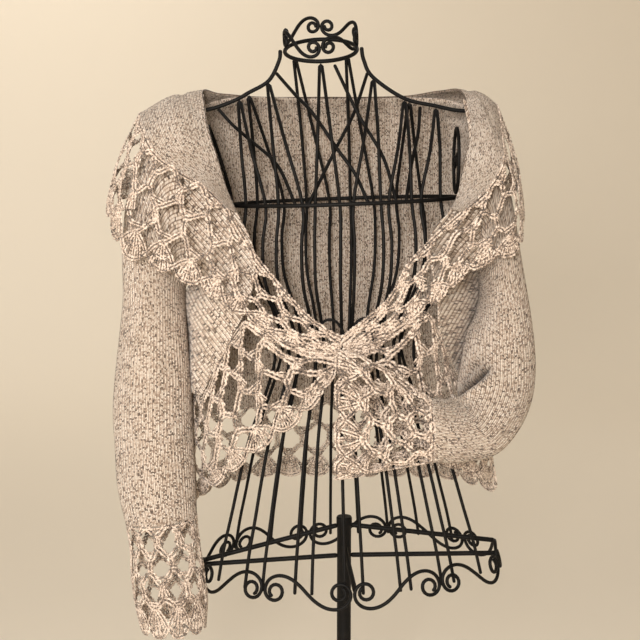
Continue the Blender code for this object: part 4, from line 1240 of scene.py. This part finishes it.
postR, postTop, baseR, baseH = stand["postR"], stand["postTop"], stand["baseR"], stand["baseH"]
footR, capR = stand["footR"], stand["capR"]
turnedPiece("standPost", [
    (footR, baseH), (footR, baseH + 5.0), (footR - 3.0, baseH + 8.0), (postR, baseH + 8.2),
    (postR, postTop - 12.0), (capR, postTop - 11.0), (capR, postTop - 2.0), (postR, postTop)],
    "post", stand["postSides"])
turnedPiece("standBase", [
    (baseR - 1.0, 0.0), (baseR, 1.0), (baseR, baseH - 4.5), (baseR - 1.2, baseH - 1.6), (baseR - 4.0, baseH),
    (60.0, baseH), (20.0, baseH)], "base", stand["baseSides"])
print("stand turned")


# the smaller of width times length and surface area, worked out for each cloth piece and not kept

def declare(piece, width, length, area):
    whole = width * length * mm * mm
    min(area, whole)


for piece, around, length, area in (leftSleevePiece, rightSleevePiece):
    declare(piece, around, length, area)
for piece, width, length, area in [
        leftFrontPiece, rightFrontPiece, (backPiece, backWidth, backLength, backArea),
        (collarPiece, collarWidth, collarLength, collarArea),
        (collarLacePiece, collarLaceWidth, collarLaceLength, areaOf(collarLaceAt)),
        (hemPiece, hemWidth, hemLength, areaOf(hemAt))] + frontLacePieces + cuffPieces:
    declare(piece, max(width, area / length / mm / mm), length, area)


# floor, light and camera

studio = dict(
    wallR=4.3, sweepR=1.6, wallTop=5.2, sides=96, sweepSteps=12, colour=(0.81, 0.74, 0.63), rough=0.9,
    sky=(1.0, 0.955, 0.89), skyStrength=0.44, lamp=(1.0, 0.965, 0.92))
wallR, sweepR = studio["wallR"], studio["sweepR"]
profile = [(0.01, 0.0), (0.8, 0.0), (1.8, 0.0), (wallR - sweepR, 0.0)]
for k in range(1, studio["sweepSteps"] + 1):
    a = math.radians(90.0 * k / studio["sweepSteps"])
    profile.append((wallR - sweepR * (1.0 - math.sin(a)), sweepR * (1.0 - math.cos(a))))
profile.append((wallR, studio["wallTop"]))
bm = bmesh.new()
rings = turnedRings(bm, profile, studio["sides"])
bmesh.ops.reverse_faces(bm, faces=bm.faces[:])  # the inside of the wall is seen
bm.faces.new(rings[0])
mesh = bpy.data.meshes.new("paleFloor")
bm.to_mesh(mesh)
bm.free()
for polygon in mesh.polygons:
    polygon.use_smooth = True
floorMat, _, floorShader = newMaterial("paleFloorPaint")
floorShader.inputs["Base Color"].default_value = (*studio["colour"], 1.0)
floorShader.inputs["Roughness"].default_value = studio["rough"]
mesh.materials.append(floorMat)
floor = linkPiece("paleFloor", mesh)

world = bpy.data.worlds.new("paleStudio")
bpy.context.scene.world = world
world.use_nodes = True
sky = world.node_tree.nodes["Background"].inputs
sky["Color"].default_value = (*studio["sky"], 1.0)
sky["Strength"].default_value = studio["skyStrength"]
bpy.context.scene.view_settings.view_transform = "Standard"

# place, aim, size, power
lights = dict(
    key=((-0.3, -2.3, 1.2), (-0.05, 0.0, 0.8), 0.5, 51.0),
    fill=((-1.2, -1.8, 1.45), (-0.1, 0.0, 0.7), 1.2, 15.0),
    back=((0.6, 2.2, 2.4), (0.0, 0.0, 0.8), 1.6, 12.0),
    backdrop=((-1.1, 2.6, 2.9), (-1.3, 4.3, 1.8), 1.6, 30.0))
for name, (place, aim, size, power) in lights.items():
    data = bpy.data.lights.new(name + "Light", "AREA")
    data.size, data.energy = size, power
    data.color = studio["lamp"]
    lamp = linkPiece(name + "Light", data)
    lamp.location = place
    heading = np.array(aim) - np.array(place)
    tilt = math.atan2(math.hypot(heading[0], heading[1]), -heading[2])
    lamp.rotation_euler = (tilt, 0.0, math.atan2(heading[1], heading[0]) - math.pi / 2)

view = dict(place=(-0.0325, -1.55, 0.91), downDegrees=8.0, lens=67.05, sensor=36.0, near=0.05, far=60.0)
cameraData = bpy.data.cameras.new("photoCamera")
cameraData.sensor_width, cameraData.lens = view["sensor"], view["lens"]
cameraData.clip_start, cameraData.clip_end = view["near"], view["far"]
camera = linkPiece("photoCamera", cameraData)
camera.location = view["place"]
camera.rotation_euler = (math.radians(90.0 - view["downDegrees"]), 0.0, 0.0)
bpy.context.scene.camera = camera

print("scene ready")
